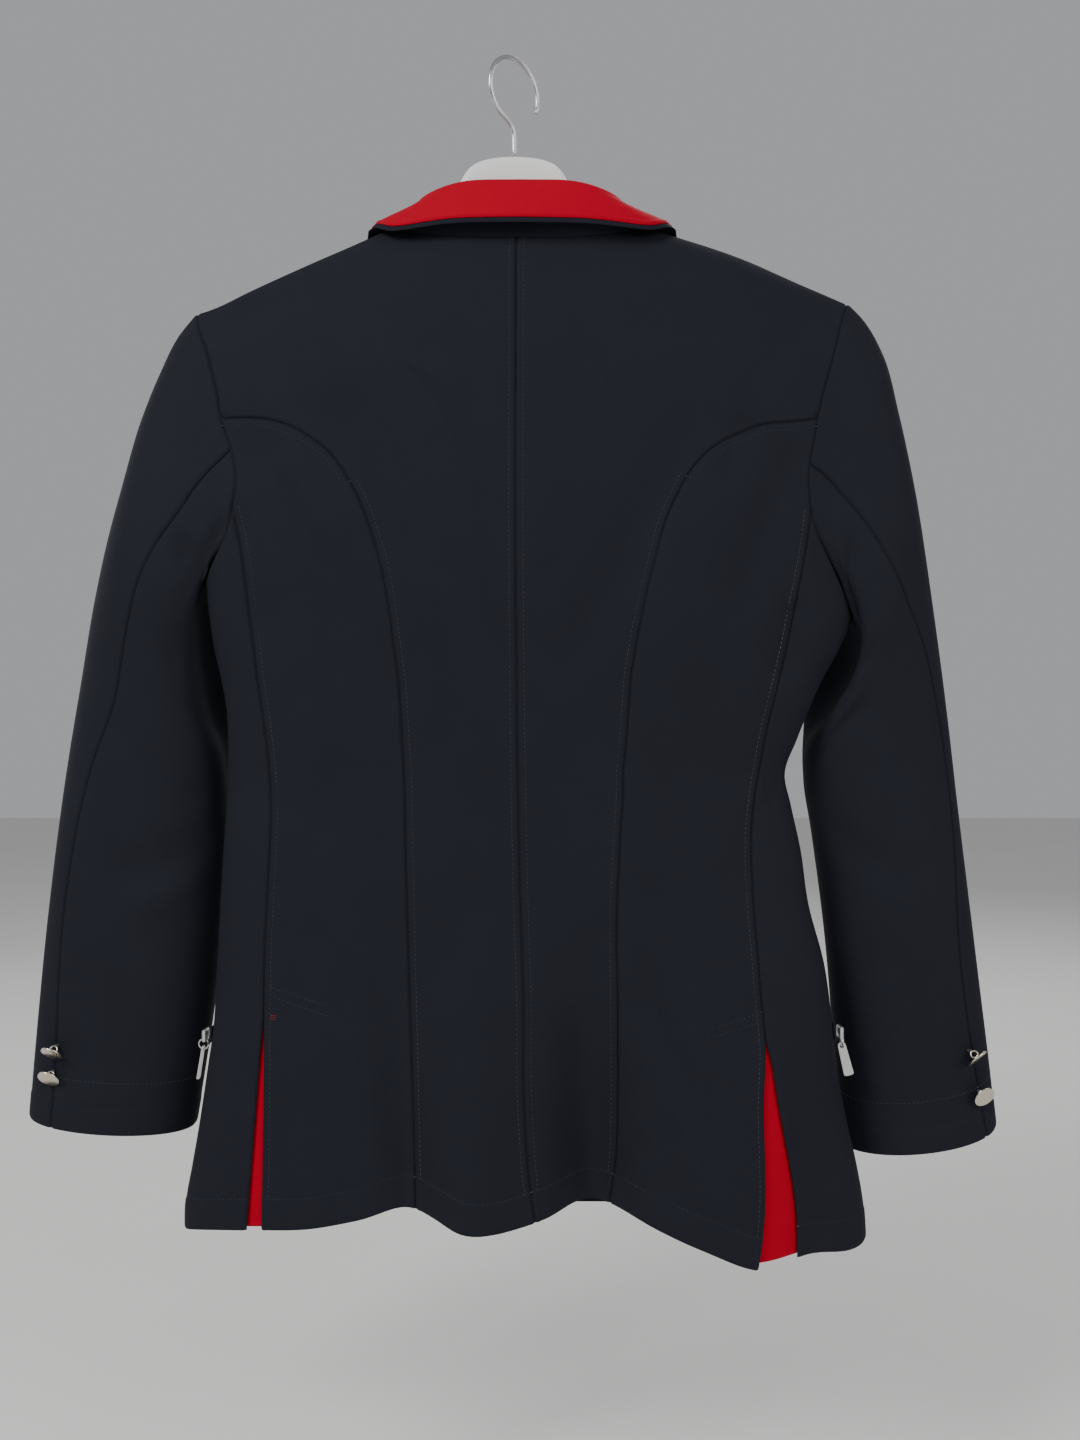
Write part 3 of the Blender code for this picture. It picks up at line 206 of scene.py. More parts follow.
def even(place: Curve, start: float, end: float) -> Curve:
    """A line whose places are read from a value that goes evenly from start to end."""
    return lambda share: place(start + (end - start) * np.asarray(share, float))


def straight(start: Array, end: Array) -> Curve:
    """Straight line from place to place."""
    return lambda share: start + (end - start) * np.asarray(share)[..., None]


def on(curve: Curve, share: float) -> Array:
    """One place of a line."""
    return curve(np.array([float(share)]))[0]


def folded(lines: Table, x: Array, y: Array, fades: tuple[float, float], scale: float = 1) -> Array:
    """Sum of soft folds that run from point to point.

    Args:
        lines: a row for each fold, with its two ends, depth and width.
        x: where it is read, across.
        y: where it is read, along.
        fades: the shares of a fold over which its start and its end fade.
        scale: how many millimetres one step of x has.

    Returns:
        How far the cloth stands out there.
    """
    out = np.zeros_like(y)
    for x1, y1, x2, y2, depth, width in zip(*lines.values()):
        right, up = (x2 - x1) * scale, y2 - y1
        run = math.hypot(right, up)
        along = ((x - x1) * scale * right + (y - y1) * up) / run
        across = ((x - x1) * scale * up - (y - y1) * right) / run
        fade = ease(along / (fades[0] * run) + 0.5) * ease((run - along) / (fades[1] * run) + 0.5)
        out = out + depth * fade * bell(across, width)
    return out


# The form of the cloth


@dataclass(frozen=True)
class BodyForm:
    """The form of the jacket's body, all round, with its seam lines.

    A place on it is a turn round the body, from the centre back, and a height.
    """

    sections: Table = rows_of(
        "height left right back front",
        (-110, 234, 246, 44, 46), (-167, 231, 242, 44, 50), (-200, 222, 236, 44, 52),
        (-242, 213, 226, 43, 53), (-299, 207, 219, 42, 52), (-348, 205, 221, 40, 50),
        (-372, 202, 224, 39, 48), (-392, 199, 216, 38, 47), (-412, 194.5, 205, 37, 46),
        (-432, 191, 196, 36, 45), (-452, 190, 188, 35, 44), (-474, 190, 180, 34.5, 44),
        (-495, 191, 184, 35, 45), (-525, 193, 190.5, 37, 46), (-560, 195, 195.5, 38, 47),
        (-600, 197, 206, 39, 48), (-646, 200, 212, 40, 49), (-670, 203.5, 214.5, 40.5, 50),
        (-707, 209, 221.5, 41, 50), (-733, 213.5, 227.5, 41.5, 50), (-759, 218, 232, 42, 50),
        (-790, 218, 234, 42, 50),
    )
    shoulder_line: Table = rows_of(
        "x height",
        (-246, -172), (-222, -161.5), (-190, -148), (-151, -131), (-109, -117), (-92, -112), (0, -80),
        (84, -112), (95, -117), (143, -138), (176, -153), (199, -164), (211, -168), (234, -178),
    )
    centre_back: Table = rows_of(
        "height x",
        (-120, -2), (-362, -2), (-458, -3), (-554, -5), (-617, -7), (-680, -7.5), (-733, -11), (-770, -16),
    )
    princess: Table = rows_of(
        "left_x left_height right_x right_height",
        (192, -242, 198, -245), (170, -243, 179, -246), (153, -246, 162, -248), (137, -253, 146, -254),
        (120, -265, 129, -263), (109, -279, 116, -276), (99, -297, 106, -293), (92, -315, 97, -314),
        (84, -342, 90, -341), (79, -372, 83, -371), (75, -404, 77, -404), (72, -440, 74, -439),
        (70, -476, 71, -478), (69, -515, 69, -517), (68, -554, 67, -556), (67, -594, 67, -595),
        (66, -634, 67, -635), (65, -676, 67, -676), (64, -716, 66, -716), (63, -753, 62, -752),
    )
    side_seam: Table = rows_of(
        "height left right",
        (-299, 183, 194), (-330, 177, 190), (-361, 173, 184), (-393, 169, 178), (-419, 166, 172),
        (-439, 163, 167), (-465, 160, 162), (-495, 158, 157), (-523, 158.5, 155), (-555, 160, 156),
        (-587, 161.5, 158), (-620, 162, 160), (-647, 162, 162), (-680, 162, 160), (-759, 162.5, 158),
        (-790, 163, 153),
    )
    hem_line: Table = rows_of(
        "turn height",
        (-190, -776), (-130, -777), (-90, -781), (-67, -785), (-53, -781), (-41, -783), (-30, -770),
        (-23, -761), (-17, -753.5), (-10, -753), (-5, -758), (3, -763.5), (9, -762.5), (13, -757),
        (18, -753), (27, -759), (36, -765), (49, -768), (60, -770), (90, -776), (130, -777), (190, -776),
    )
    flutes: Table = rows_of(
        "x width depth",
        (26, 26, 11), (68, 20, -10), (-50, 22, -26), (-112, 30, 14), (-156, 34, 22),
    )
    folds: Table = rows_of(
        "x1 height1 x2 height2 depth width",
        (173, -252, 80, -420, -4, 16), (108, -232, 8, -407, -3.5, 18), (179, -303, 160, -387, -3, 11),
        (-120, -245, -40, -400, -3.5, 18), (-185, -262, -140, -374, -3.5, 14),
        (-185, -361, -175, -413, -3, 10),
        (150, -270, 120, -330, 1.6, 9), (-150, -246, -136, -288, -2.2, 9), (-168, -200, -150, -236, -1.6, 12),
        (-170, -480, -150, -520, -1.4, 7), (-176, -484, -166, -492, -1.8, 4), (170, -470, 140, -500, -1.0, 8),
        (86, -560, 66, -750, -2.4, 12), (-60, -560, -118, -690, -2.4, 9), (-84, -600, -100, -740, -1.6, 10),
        (130, -640, 122, -740, 1.4, 14), (20, -480, 44, -610, -1.2, 13), (-20, -500, -38, -620, -1.3, 12),
    )
    front_creases: Table = rows_of(
        "x1 height1 x2 height2 depth width",
        (170, -290, 120, -400, -3.2, 15), (-175, -300, -120, -410, -3.2, 15), (120, -300, 60, -420, -2.2, 16),
        (-110, -290, -70, -420, -2.4, 18), (150, -520, 120, -700, -2.4, 18),
        (-150, -540, -110, -720, -2.6, 18),
        (70, -600, 90, -770, 2.6, 20), (-60, -600, -76, -770, 2.4, 22), (20, -420, 60, -500, -1.4, 10),
        (-30, -440, -90, -520, -1.5, 12),
    )
    flute_top: float = -540
    flute_bottom: float = -770
    vent_top: dict[Side, float] = sides(-633, -645)
    vent_opening: dict[Side, float] = sides(10, 28)
    vent_curve: float = 0.8
    seam_start: float = 30
    crest: float = 0.38
    crest_fall: float = 14
    fall: float = 95
    squareness: float = 0.6
    waist_roundness: float = 0.22
    waist_from: float = -300
    waist_run: float = 120
    relief_facing: float = 0.3
    relief_below: float = 40
    ridge: float = 1.5
    fold_fades: tuple[float, float] = (0.25, 0.35)
    turn_step: float = 1e-4
    height_step: float = 0.05

    def shoulder(self, x: Array) -> Array:
        """Height of the shoulder seam."""
        return smooth(self.shoulder_line["x"], self.shoulder_line["height"], x)

    def half_width(self, to_left: Array, height: Array) -> Array:
        """Half width of the body, to the left or to the right."""
        widths = [smooth(self.sections["height"], self.sections[side.word], height) for side in Side]
        return np.where(to_left, *widths)

    def turn_at(self, side: Side, x: Array, height: Array) -> Array:
        """Signed turn on the back at a distance x to one side of the middle."""
        across = side.value * np.asarray(x, float)
        return np.arcsin(np.clip(across / self.half_width(across >= 0, height), -1, 1))

    def back_place(self, side: Side, x: Array, height: Array) -> Array:
        """Place on the back at a distance x to one side of the middle."""
        return pair(self.turn_at(side, x, height), height)

    def front_place(self, side: Side, x: Array, height: Array) -> Array:
        """The same on the front."""
        return self.to_front(side, self.back_place(side, x, height))

    def hem(self, turn: Array) -> Array:
        """Height of the hem."""
        return smooth(self.hem_line["turn"], self.hem_line["height"], np.degrees(turn))

    def relief(self, x: Array, height: Array) -> Array:
        """How far the back's flutes and folds stand out.

        Args:
            x: places across.
            height: heights.

        Returns:
            The distances there.
        """
        drop = ease((self.flute_top - height) / (self.flute_top - self.flute_bottom))
        out = folded(self.folds, x, height, self.fold_fades)
        for middle, width, depth in zip(*self.flutes.values()):
            out = out + drop * depth * bell(x - middle, width)
        return out

    def point(self, turn: Array, height: Array) -> Array:
        """Outer face of the body cloth.

        Args:
            turn: signed turns from the centre back.
            height: heights.

        Returns:
            The points there.
        """
        turn, height = np.broadcast_arrays(np.asarray(turn, float), np.asarray(height, float))
        x = self.half_width(np.sin(turn) >= 0, height) * np.sin(turn)
        facing, drop = np.cos(turn), self.shoulder(x) - height
        rows = self.sections
        back, front = [smooth(rows["height"], rows[face], height) for face in ("back", "front")]
        near, far = [1 - np.exp(-drop / fall) for fall in (self.crest_fall, self.fall)]
        fullness = self.crest * near + (1 - self.crest) * far
        roundness = self.squareness + self.waist_roundness * ease((self.waist_from - height) / self.waist_run)
        y = np.where(facing >= 0, back, -front) * np.abs(facing) ** roundness * fullness
        below = ease(drop / self.relief_below)
        y = y + self.relief(x, height) * ease(facing / self.relief_facing) * below
        creases = folded(self.front_creases, x, height, self.fold_fades)
        y = y - creases * ease(-facing / self.relief_facing) * below
        return np.stack([x, y, height], axis=-1)

    def surface(self, places: Array) -> tuple[Array, Array]:
        """Points and outward directions at places of turn and height.

        Args:
            places: pairs of values.

        Returns:
            Points and directions.
        """
        turn, height = places[..., 0], places[..., 1]
        point = self.point(turn, height)
        around = self.point(turn + self.turn_step, height) - self.point(turn - self.turn_step, height)
        upward = self.point(turn, height + self.height_step) - self.point(turn, height - self.height_step)
        out = unit(np.cross(upward, around))
        x = point[..., 0]
        slope = (self.shoulder(x + 1) - self.shoulder(x - 1)) / 2
        ridge = unit(np.stack([-slope, np.zeros_like(x), np.ones_like(x)], axis=-1))
        near = (1 - ease((self.shoulder(x) - height) / self.ridge))[..., None]
        return point, unit(out * (1 - near) + ridge * near)

    def to_front(self, side: Side, places: Array) -> Array:
        """The same places on the front, for a line where back and front meet."""
        return pair(side.value * np.pi - places[..., 0], places[..., 1])


@dataclass(frozen=True)
class SleeveForm:
    """The form of one sleeve, as rings from the armhole to the cuff.

    A place on it is a turn round the ring, from the outer edge over the back, and a distance down.
    """

    body: BodyForm
    side: Side
    rings: Table
    armhole: Table
    notch_turn: float
    side_top_turn: float
    creases: Table
    scoop: float = 7
    join: float = 120
    own_face: float = 20
    length: float = 467
    crease_radius: float = 55
    fold_fades: tuple[float, float] = (0.3, 0.3)
    flatness: float = 0.9
    calm_top: float = 30
    calm_cuff: float = 40
    turn_step: float = 1e-4
    length_step: float = 0.05

    def armhole_place(self, ring_turn: Array) -> Array:
        """Turn and height on the body of a point of the armhole, from 0 at the tip to pi at the underarm.

        Args:
            ring_turn: turns round the ring.

        Returns:
            The turns and heights.
        """
        top, bottom = self.body.shoulder(self.side.value * self.rings["outer_x"][0]), self.rings["inner_z"][0]
        height = (top + bottom) / 2 + (top - bottom) / 2 * np.cos(ring_turn)
        x = smooth(self.armhole["height"], self.armhole["x"], height)
        in_front = np.sin(ring_turn) < -1e-6
        x = x - np.where(in_front, self.scoop * np.sin(ring_turn) ** 2, 0)
        back, front = self.body.back_place(self.side, x, height), self.body.front_place(self.side, x, height)
        return np.where(in_front[..., None], front, back)

    def creased(self, ring_turn: Array, station: Array) -> Array:
        """How far the sleeve's soft creases stand out."""
        turn = np.degrees(np.mod(ring_turn + np.pi / 2, 2 * np.pi)) - 90
        out = folded(self.creases, turn, station, self.fold_fades, math.radians(1) * self.crease_radius)
        return out * ease(station / self.calm_top) * ease((self.length - station) / self.calm_cuff)

    def point(self, ring_turn: Array, station: Array) -> Array:
        """Outer face of the sleeve.

        Args:
            ring_turn: turns round the ring.
            station: distances down from the armhole.

        Returns:
            The points there.
        """
        ring_turn, station = np.broadcast_arrays(np.asarray(ring_turn, float), np.asarray(station, float))
        ring = {name: smooth(self.rings["station"], values, station) for name, values in self.rings.items()}
        start = {name: values[0] for name, values in self.rings.items()}
        cos, sin = np.cos(ring_turn), np.sin(ring_turn)
        points = []
        for at in (ring, start):
            ends = [(at["outer_" + axis], at["inner_" + axis]) for axis in "xz"]
            x, z = [(outer + inner) / 2 + (outer - inner) / 2 * cos for outer, inner in ends]
            z = z - at["drop"] * sin
            x = x - at["reach"] * 4 * np.minimum(cos, 0) ** 2 * np.minimum(sin, 0) ** 2
            y = at["y"] + at["depth"] * np.sign(sin) * np.abs(sin) ** self.flatness
            points.append(np.stack([self.side.value * x, y, z], axis=-1))
        places = self.armhole_place(ring_turn)
        own_shape = self.body.point(places[..., 0], places[..., 1]) - points[1]
        point = points[0] + own_shape * (1 - ease(station / self.join))[..., None]
        point[..., 1] += self.creased(ring_turn, station) * sin
        return point

    def surface(self, places: Array) -> tuple[Array, Array]:
        """Points and outward directions at places of ring turn and distance down.

        Args:
            places: pairs of values.

        Returns:
            Points and directions.
        """
        turn, station = places[..., 0], places[..., 1]
        around = self.point(turn + self.turn_step, station) - self.point(turn - self.turn_step, station)
        later = np.minimum(station + self.length_step, self.length)
        sooner = np.maximum(station - self.length_step, 0)
        down = self.point(turn, later) - self.point(turn, sooner)
        out = self.side.value * unit(np.cross(down, around))
        _, body_out = self.body.surface(self.armhole_place(turn))
        near_tip = ease((np.cos(turn) + 0.2) / 0.6)
        own = (1 - near_tip * (1 - ease(station / self.own_face)))[..., None]
        return self.point(turn, station), unit(body_out * (1 - own) + out * own)


def left_sleeve(body: BodyForm) -> SleeveForm:
    """The left sleeve's form.

    Args:
        body: the body it joins.

    Returns:
        The form.
    """
    return SleeveForm(
        body=body,
        side=Side.LEFT,
        notch_turn=80,
        side_top_turn=118,
        rings=table(
            "station outer_x outer_z inner_x inner_z y depth drop reach back_seam front_seam",
            (0, 211, -168, 205, -348, 0, 34, 0, 0, 93, 240),
            (13, 224, -183, 208.5, -353, -2, 34, 0, 2, 92, 240),
            (31, 237, -207, 211, -361, -5, 36, 0, 8, 90, 240),
            (53, 250, -237, 212, -373, -9, 38, 0, 14, 89, 239),
            (83, 263, -279, 212.5, -390, -14, 38, 0, 20, 84, 238),
            (146, 285, -357, 208, -436, -24, 36, 0, 20, 75, 235),
            (187, 296, -411, 200, -464, -29, 34, 0, 12, 68, 232),
            (232, 306, -462, 197.5, -502, -33, 33, 0, 6, 54, 230),
            (334, 322, -569, 204, -598, -38, 31, 0, 2, 43, 227),
            (427, 333, -669, 216, -684, -41, 27.5, 4, 0, 49, 224),
            (467, 337, -712, 222, -719, -42, 26, 5, 0, 50, 223),
        ),
        armhole=table(
            "height x",
            (-168, 211), (-181, 208), (-196, 202), (-210, 198), (-228, 193.5), (-242, 191.5), (-254, 187),
            (-267, 183), (-287, 181), (-299, 183), (-309, 185), (-322, 190), (-334, 197), (-348, 205),
        ),
        creases=table(
            "turn1 down1 turn2 down2 depth width",
            (150, 24, 100, 66, -4.2, 7), (160, 60, 120, 130, -2.0, 10), (60, 30, 66, 120, -1.6, 14),
            (150, 250, 80, 300, -2.8, 12), (140, 285, 95, 318, 1.6, 10), (165, 200, 120, 236, -1.8, 10),
            (90, 340, 100, 430, -1.2, 14), (-60, 200, -100, 260, -2.4, 12), (-50, 260, -100, 300, -1.8, 10),
        ),
    )


def right_sleeve(body: BodyForm) -> SleeveForm:
    """The right sleeve's form.

    Args:
        body: the body it joins.

    Returns:
        The form.
    """
    return SleeveForm(
        body=body,
        side=Side.RIGHT,
        notch_turn=77,
        side_top_turn=110,
        rings=table(
            "station outer_x outer_z inner_x inner_z y depth drop reach back_seam front_seam",
            (0, 222, -161.5, 224, -372, 0, 34, 0, 0, 93, 240),
            (12, 234, -173, 229, -378, -2, 34, 0, 2, 92, 240),
            (30, 248, -197, 232, -386, -5, 36, 0, 8, 91, 240),
            (53, 258, -231, 231.5, -397, -10, 38, 0, 14, 87, 239),
            (83, 268, -274, 226, -413, -15, 38, 0, 20, 81, 238),
            (120, 278.5, -327, 212.5, -435, -22, 37, 0, 18, 66, 236),
            (157, 288, -381, 200, -454, -27, 35, 0, 6, 46, 233),
            (196, 296, -432, 199, -480, -31, 33, 0, 0, 37, 231),
            (244, 304, -491, 205, -515, -35, 32, 0, 0, 34, 229),
            (338, 318, -595, 216, -597, -39, 30, 1, 0, 46, 226),
            (432, 330, -686, 223, -693, -41, 27.5, 7, 0, 41, 224),
            (467, 334, -718, 225, -730, -42, 26, 9, 0, 36, 223),
        ),
        armhole=table(
            "height x",
            (-161.5, 222), (-175, 217), (-189, 213), (-207, 208), (-224, 203), (-245, 198), (-258, 196),
            (-274, 193), (-290, 193), (-303, 194), (-319, 199), (-334, 207), (-353, 217), (-372, 224),
        ),
        creases=table(
            "turn1 down1 turn2 down2 depth width",
            (150, 24, 100, 52, -4.2, 7), (165, 70, 110, 120, -3.0, 9), (60, 40, 60, 120, -1.6, 14),
            (165, 176, 105, 158, -4.5, 9), (150, 240, 90, 290, -1.8, 12), (100, 330, 80, 430, -1.2, 14),
            (-60, 200, -100, 260, -2.4, 12), (-50, 260, -100, 300, -1.8, 10),
        ),
    )


@dataclass(frozen=True)
class NeckForm:
    """The neckline with the collar, at stations counted from the centre back to the gorge."""

    body: BodyForm
    neckline: Table = rows_of(
        "left_x left_height right_x right_height",
        (-2, -125.5, 2, -125.5), (28, -124.5, 34, -124.5), (58, -120.5, 65, -119.5), (84, -112, 92, -110),
        (86, -124, 94, -122), (82, -139, 89, -138), (73, -154, 79, -154), (60, -168, 62, -168),
    )
    fold_line: Table = rows_of(
        "left_x right_x y height",
        (-5, 5, 27, -91), (29, 38, 26, -91.5), (52, 61, 19, -95.5), (64, 73, 3, -99),
        (68, 77, -12, -108), (67, 76, -24, -123), (62, 70, -33, -141), (55, 58, -39, -161),
    )
    collar_edge: Table = rows_of(
        "left_x left_height right_x right_height lift",
        (-5, -124, 5, -124, 14), (37, -124, 46, -124, 13), (76, -125, 87, -124, 9),
        (93, -116, 105, -116, 5.5), (100, -131, 110, -130, 5.5), (97, -147, 105, -147, 5.5),
        (89, -163, 96, -163, 5), (77, -177, 81, -177, 5),
    )
    neck_point: int = 3
    gorge: int = 7
    thickness: float = 1.2
    fold_radius: float = 3.0
    fullness: float = 1.5
    step: float = 0.3
    share_step: float = 1e-3
    start: float = -0.8
    knot_shares: tuple[float, ...] = (0, 0.2, 0.4, 0.5, 0.6, 0.8, 1)

    def places(self, side: Side, station: Array, edge: Optional[Table] = None) -> Array:
        """Places of a line round the neck.

        Args:
            side: the side it is on.
            station: where it is read.
            edge: the line's table, the neckline's if left out.

        Returns:
            Rows of turn and height.
        """
        rows = self.neckline if edge is None else edge
        keys = np.arange(self.gorge + 1)
        across, heights = rows[side.word + "_x"], rows[side.word + "_height"].copy()
        heights[self.neck_point] = self.body.shoulder(side.value * across[self.neck_point])
        x = smooth(keys, across, station)
        height = np.minimum(smooth(keys, heights, station), self.body.shoulder(side.value * x))
        back, front = self.body.back_place(side, x, height), self.body.front_place(side, x, height)
        return np.where((station > self.neck_point)[..., None], front, back)

    def lines(self, station: Array) -> tuple[Array, Array, Array]:
        """The collar's three lines.

        Args:
            station: signed stations.

        Returns:
            Points of the stand's foot, the fold and the outer edge.
        """
        size = np.abs(station)
        keys = np.arange(self.gorge + 1)
        to_left = (station >= 0)[:, None]
        neck, out = self.body.surface(np.where(to_left, *[self.places(side, size) for side in Side]))
        neck = neck - out * self.thickness
        left_x, right_x, y, height = [smooth(keys, column, size) for column in self.fold_line.values()]
        fold = np.stack([np.where(station >= 0, left_x, -right_x), y, height], axis=-1)
        edges = [self.places(side, size, self.collar_edge) for side in Side]
        edge, away = self.body.surface(np.where(to_left, *edges))
        edge = edge + away * smooth(keys, self.collar_edge["lift"], size)[:, None]
        return neck, fold, edge

    def point(self, station: Array, share: Array) -> Array:
        """Upper face of the under collar.

        Args:
            station: signed stations.
            share: shares of the way from stand to edge.

        Returns:
            The points there.
        """
        neck, fold, edge = self.lines(station)
        outward = unit((edge - neck) * (1, 1, 0) + unit(fold * (1, 1, 0)) * 0.01)
        low = fold - outward * self.fold_radius - (0, 0, self.fold_radius)
        far = fold + outward * self.fold_radius - (0, 0, self.fold_radius)
        middle = (far + edge) / 2 + outward * self.fullness
        start = neck + unit(low - neck) * self.start
        knots = np.stack([start, (start + low) / 2, low, fold, far, middle, edge])
        keys = np.array(self.knot_shares, float)
        slopes = np.gradient(knots, keys, axis=0)
        i = np.clip(np.searchsorted(keys, share, side="right") - 1, 0, len(keys) - 2)
        span = (keys[i + 1] - keys[i])[:, None]
        rows = np.arange(len(share))
        leave, arrive = slopes[i, rows] * span, slopes[i + 1, rows] * span
        return cubic((share - keys[i])[:, None] / span, knots[i, rows], knots[i + 1, rows], leave, arrive)

    def surface(self, places: Array) -> tuple[Array, Array]:
        """Points and upward directions of the collar at places of station and share.

        Args:
            places: pairs of values.

        Returns:
            Points and directions.
        """
        shape = places.shape[:-1]
        station, share = places[..., 0].ravel(), places[..., 1].ravel()
        before, after = [np.clip(station + step, -self.gorge, self.gorge) for step in (-self.step, self.step)]
        above, below = [np.clip(share + step, 0, 1) for step in (-self.share_step, self.share_step)]
        over = self.point(after, share) - self.point(before, share)
        down = self.point(station, below) - self.point(station, above)
        point = self.point(station, share)
        return point.reshape(*shape, 3), unit(np.cross(over, down)).reshape(*shape, 3)


# Cloth, cut from the form

NEAR_SEAM = (0, 0.8, 1.7, 2.7, 3.7, 4.6, 5.5, 6.7, 8.5)
NEAR_HEM = (0, 0.7, 1.6, 3.2, 6, 9.5, 13, 16, 18, 19.2, 20, 20.8, 22)
NEAR_FOLD = (0, 0.6, 1.3, 2.1, 3.0, 3.8, 4.8, 6.5)


class SeamKind(Enum):
    """How an edge of a cut piece is finished."""

    PLAIN = 1
    TOPSTITCHED = 2
    HEM = 3
    ROLLED = 4


@dataclass(frozen=True)
class Seam:
    """An edge of a cut piece as a line of places, with its finish and a place inside the piece."""

    places: Array
    kind: SeamKind
    inside: tuple[float, float]


@dataclass(frozen=True)
class SeamSizes:
    """Sizes of the seams' relief."""

    dip: float = 1.35
    dip_width: float = 1.0
    stitch_at: float = 4.6
    trough: float = 0.16
    trough_width: float = 1.0
    puff: float = 0.14
    puff_at: float = 2.7
    puff_width: float = 1.4
    roll: float = 0.224
    roll_at: float = 1.8
    roll_width: float = 1.2
    roll_trough_at: float = 3.8
    roll_trough_width: float = 0.9
    hem_at: float = 20.0
    hem_fade: float = 2.0
    hem_thickness: float = 0.4
    edge_round: float = 0.8
    hem_edge: float = 1.0
    roll_edge: float = 0.8

    def relief(self, kind: SeamKind, distance: Array) -> Array:
        """How far the cloth stands out beside an edge.

        Args:
            kind: how the edge is finished.
            distance: distances from it.

        Returns:
            The heights there.
        """
        dip = -self.dip * bell(distance, self.dip_width)
        if kind is SeamKind.PLAIN:
            return dip
        if kind is SeamKind.TOPSTITCHED:
            trough = self.trough * bell(distance - self.stitch_at, self.trough_width)
            return dip - trough + self.puff * bell(distance - self.puff_at, self.puff_width)
        if kind is SeamKind.ROLLED:
            trough = self.trough * bell(distance - self.roll_trough_at, self.roll_trough_width)
            roll = self.roll * bell(distance - self.roll_at, self.roll_width)
            return roll - trough - self.edge_round * bell(distance, self.roll_edge)
        turned_up = self.hem_thickness * ease((self.hem_at - distance) / self.hem_fade + 0.5)
        trough = self.trough * bell(distance - self.hem_at, self.trough_width)
        return turned_up - trough - self.edge_round * bell(distance, self.hem_edge)


def distance_to_line(points: Array, ends: Array, batch: int = 2000) -> Array:
    """Distance of each point to a line of points.

    Args:
        points: where it is read.
        ends: the line.
        batch: how many points are read at once.

    Returns:
        The distances.
    """
    start, step = ends[:-1], np.diff(ends, axis=0)
    size = np.maximum((step ** 2).sum(axis=1), 1e-9)
    nearest = []
    for first in range(0, len(points), batch):
        gap = points[first:first + batch, None] - start[None]
        share = np.clip((gap * step).sum(axis=2) / size, 0, 1)
        nearest.append(np.linalg.norm(gap - share[..., None] * step, axis=2).min(axis=1))
    return np.concatenate(nearest)


def spread(width: Array, cells: int, near_start: Sequence[float], near_end: Sequence[float]) -> Array:
    """Shares of the way across rows, dense beside their ends.

    Args:
        width: each row's width.
        cells: how many even cells lie between the dense bands.
        near_start: distances from the start that get a column.
        near_end: the same from the end.

    Returns:
        A row of shares for each width.
    """
    width = np.maximum(np.atleast_1d(width).astype(float), 1e-6)[:, None]
    scale = np.minimum(1, 0.35 * width / max(near_start[-1], near_end[-1], 1e-6))
    starts = np.asarray(near_start, float)[None] * scale
    ends = width - np.asarray(near_end, float)[::-1][None] * scale
    share = np.linspace(0, 1, cells + 1)[1:-1][None]
    middle = starts[:, -1:] * (1 - share) + ends[:, :1] * share
    return np.concatenate([starts, middle, ends], axis=1) / width


def graded(stops: Sequence[float], cells: Sequence[int]) -> Array:
    """Values from stop to stop, with a number of even cells between each two."""
    runs = [start + (end - start) * np.linspace(0, 1, count + 1)[1:]
            for start, end, count in zip(stops, stops[1:], cells)]
    return np.concatenate([stops[:1], *runs])


def chain(curves: Sequence[Curve], breaks: Sequence[float]) -> Curve:
    """One line of several stretches, which begin at the shares in breaks, from 0 to 1.

    Args:
        curves: the stretches, in order.
        breaks: where each begins and the last one ends.

    Returns:
        The whole line.
    """
    def place(share: Array) -> Array:
        """A place of the whole line."""
        share = np.asarray(share, float)
        places = curves[0](np.clip(share / breaks[1], 0, 1))
        for k in range(1, len(curves)):
            local = np.clip((share - breaks[k]) / (breaks[k + 1] - breaks[k]), 0, 1)
            places = np.where((share > breaks[k])[..., None], curves[k](local), places)
        return places
    return place


def moved(surface: Surface, lift: Union[float, Callable[[Array], Array]]) -> Surface:
    """A surface moved out by a distance, which may depend on the place's point.

    Args:
        surface: the surface.
        lift: the distance, or a function of the points.

    Returns:
        The moved surface.
    """
    def raised(places: Array) -> tuple[Array, Array]:
        """The moved points and their directions."""
        point, out = surface(places)
        return point + out * (lift(point)[..., None] if callable(lift) else lift), out
    return raised


@dataclass(frozen=True)
class Patch:
    """Stretch of a cut piece between four lines."""

    left: Curve
    right: Curve
    top: Curve
    bottom: Curve

    def places(self, over: Array, down: Array) -> Array:
        """Places inside the patch.

        Args:
            over: shares across, a row for each share down.
            down: shares down.

        Returns:
            A grid of places.
        """
        u, v = over[..., None], down[:, None, None]
        left, right = self.left(down)[:, None], self.right(down)[:, None]
        top, bottom = self.top(over), self.bottom(over)
        ends = np.array([0.0, 1.0])
        (top_start, top_end), (low_start, low_end) = self.top(ends), self.bottom(ends)
        corners = (1 - v) * ((1 - u) * top_start + u * top_end) + v * ((1 - u) * low_start + u * low_end)
        return (1 - u) * left + u * right + (1 - v) * top + v * bottom - corners

    def widths(self, surface: Surface, down: Array) -> Array:
        """Real widths of the rows at shares down."""
        over = np.broadcast_to(np.linspace(0, 1, 41), (len(down), 41))
        points, _ = surface(self.places(over, down))
        return np.linalg.norm(np.diff(points, axis=1), axis=2).sum(axis=1)


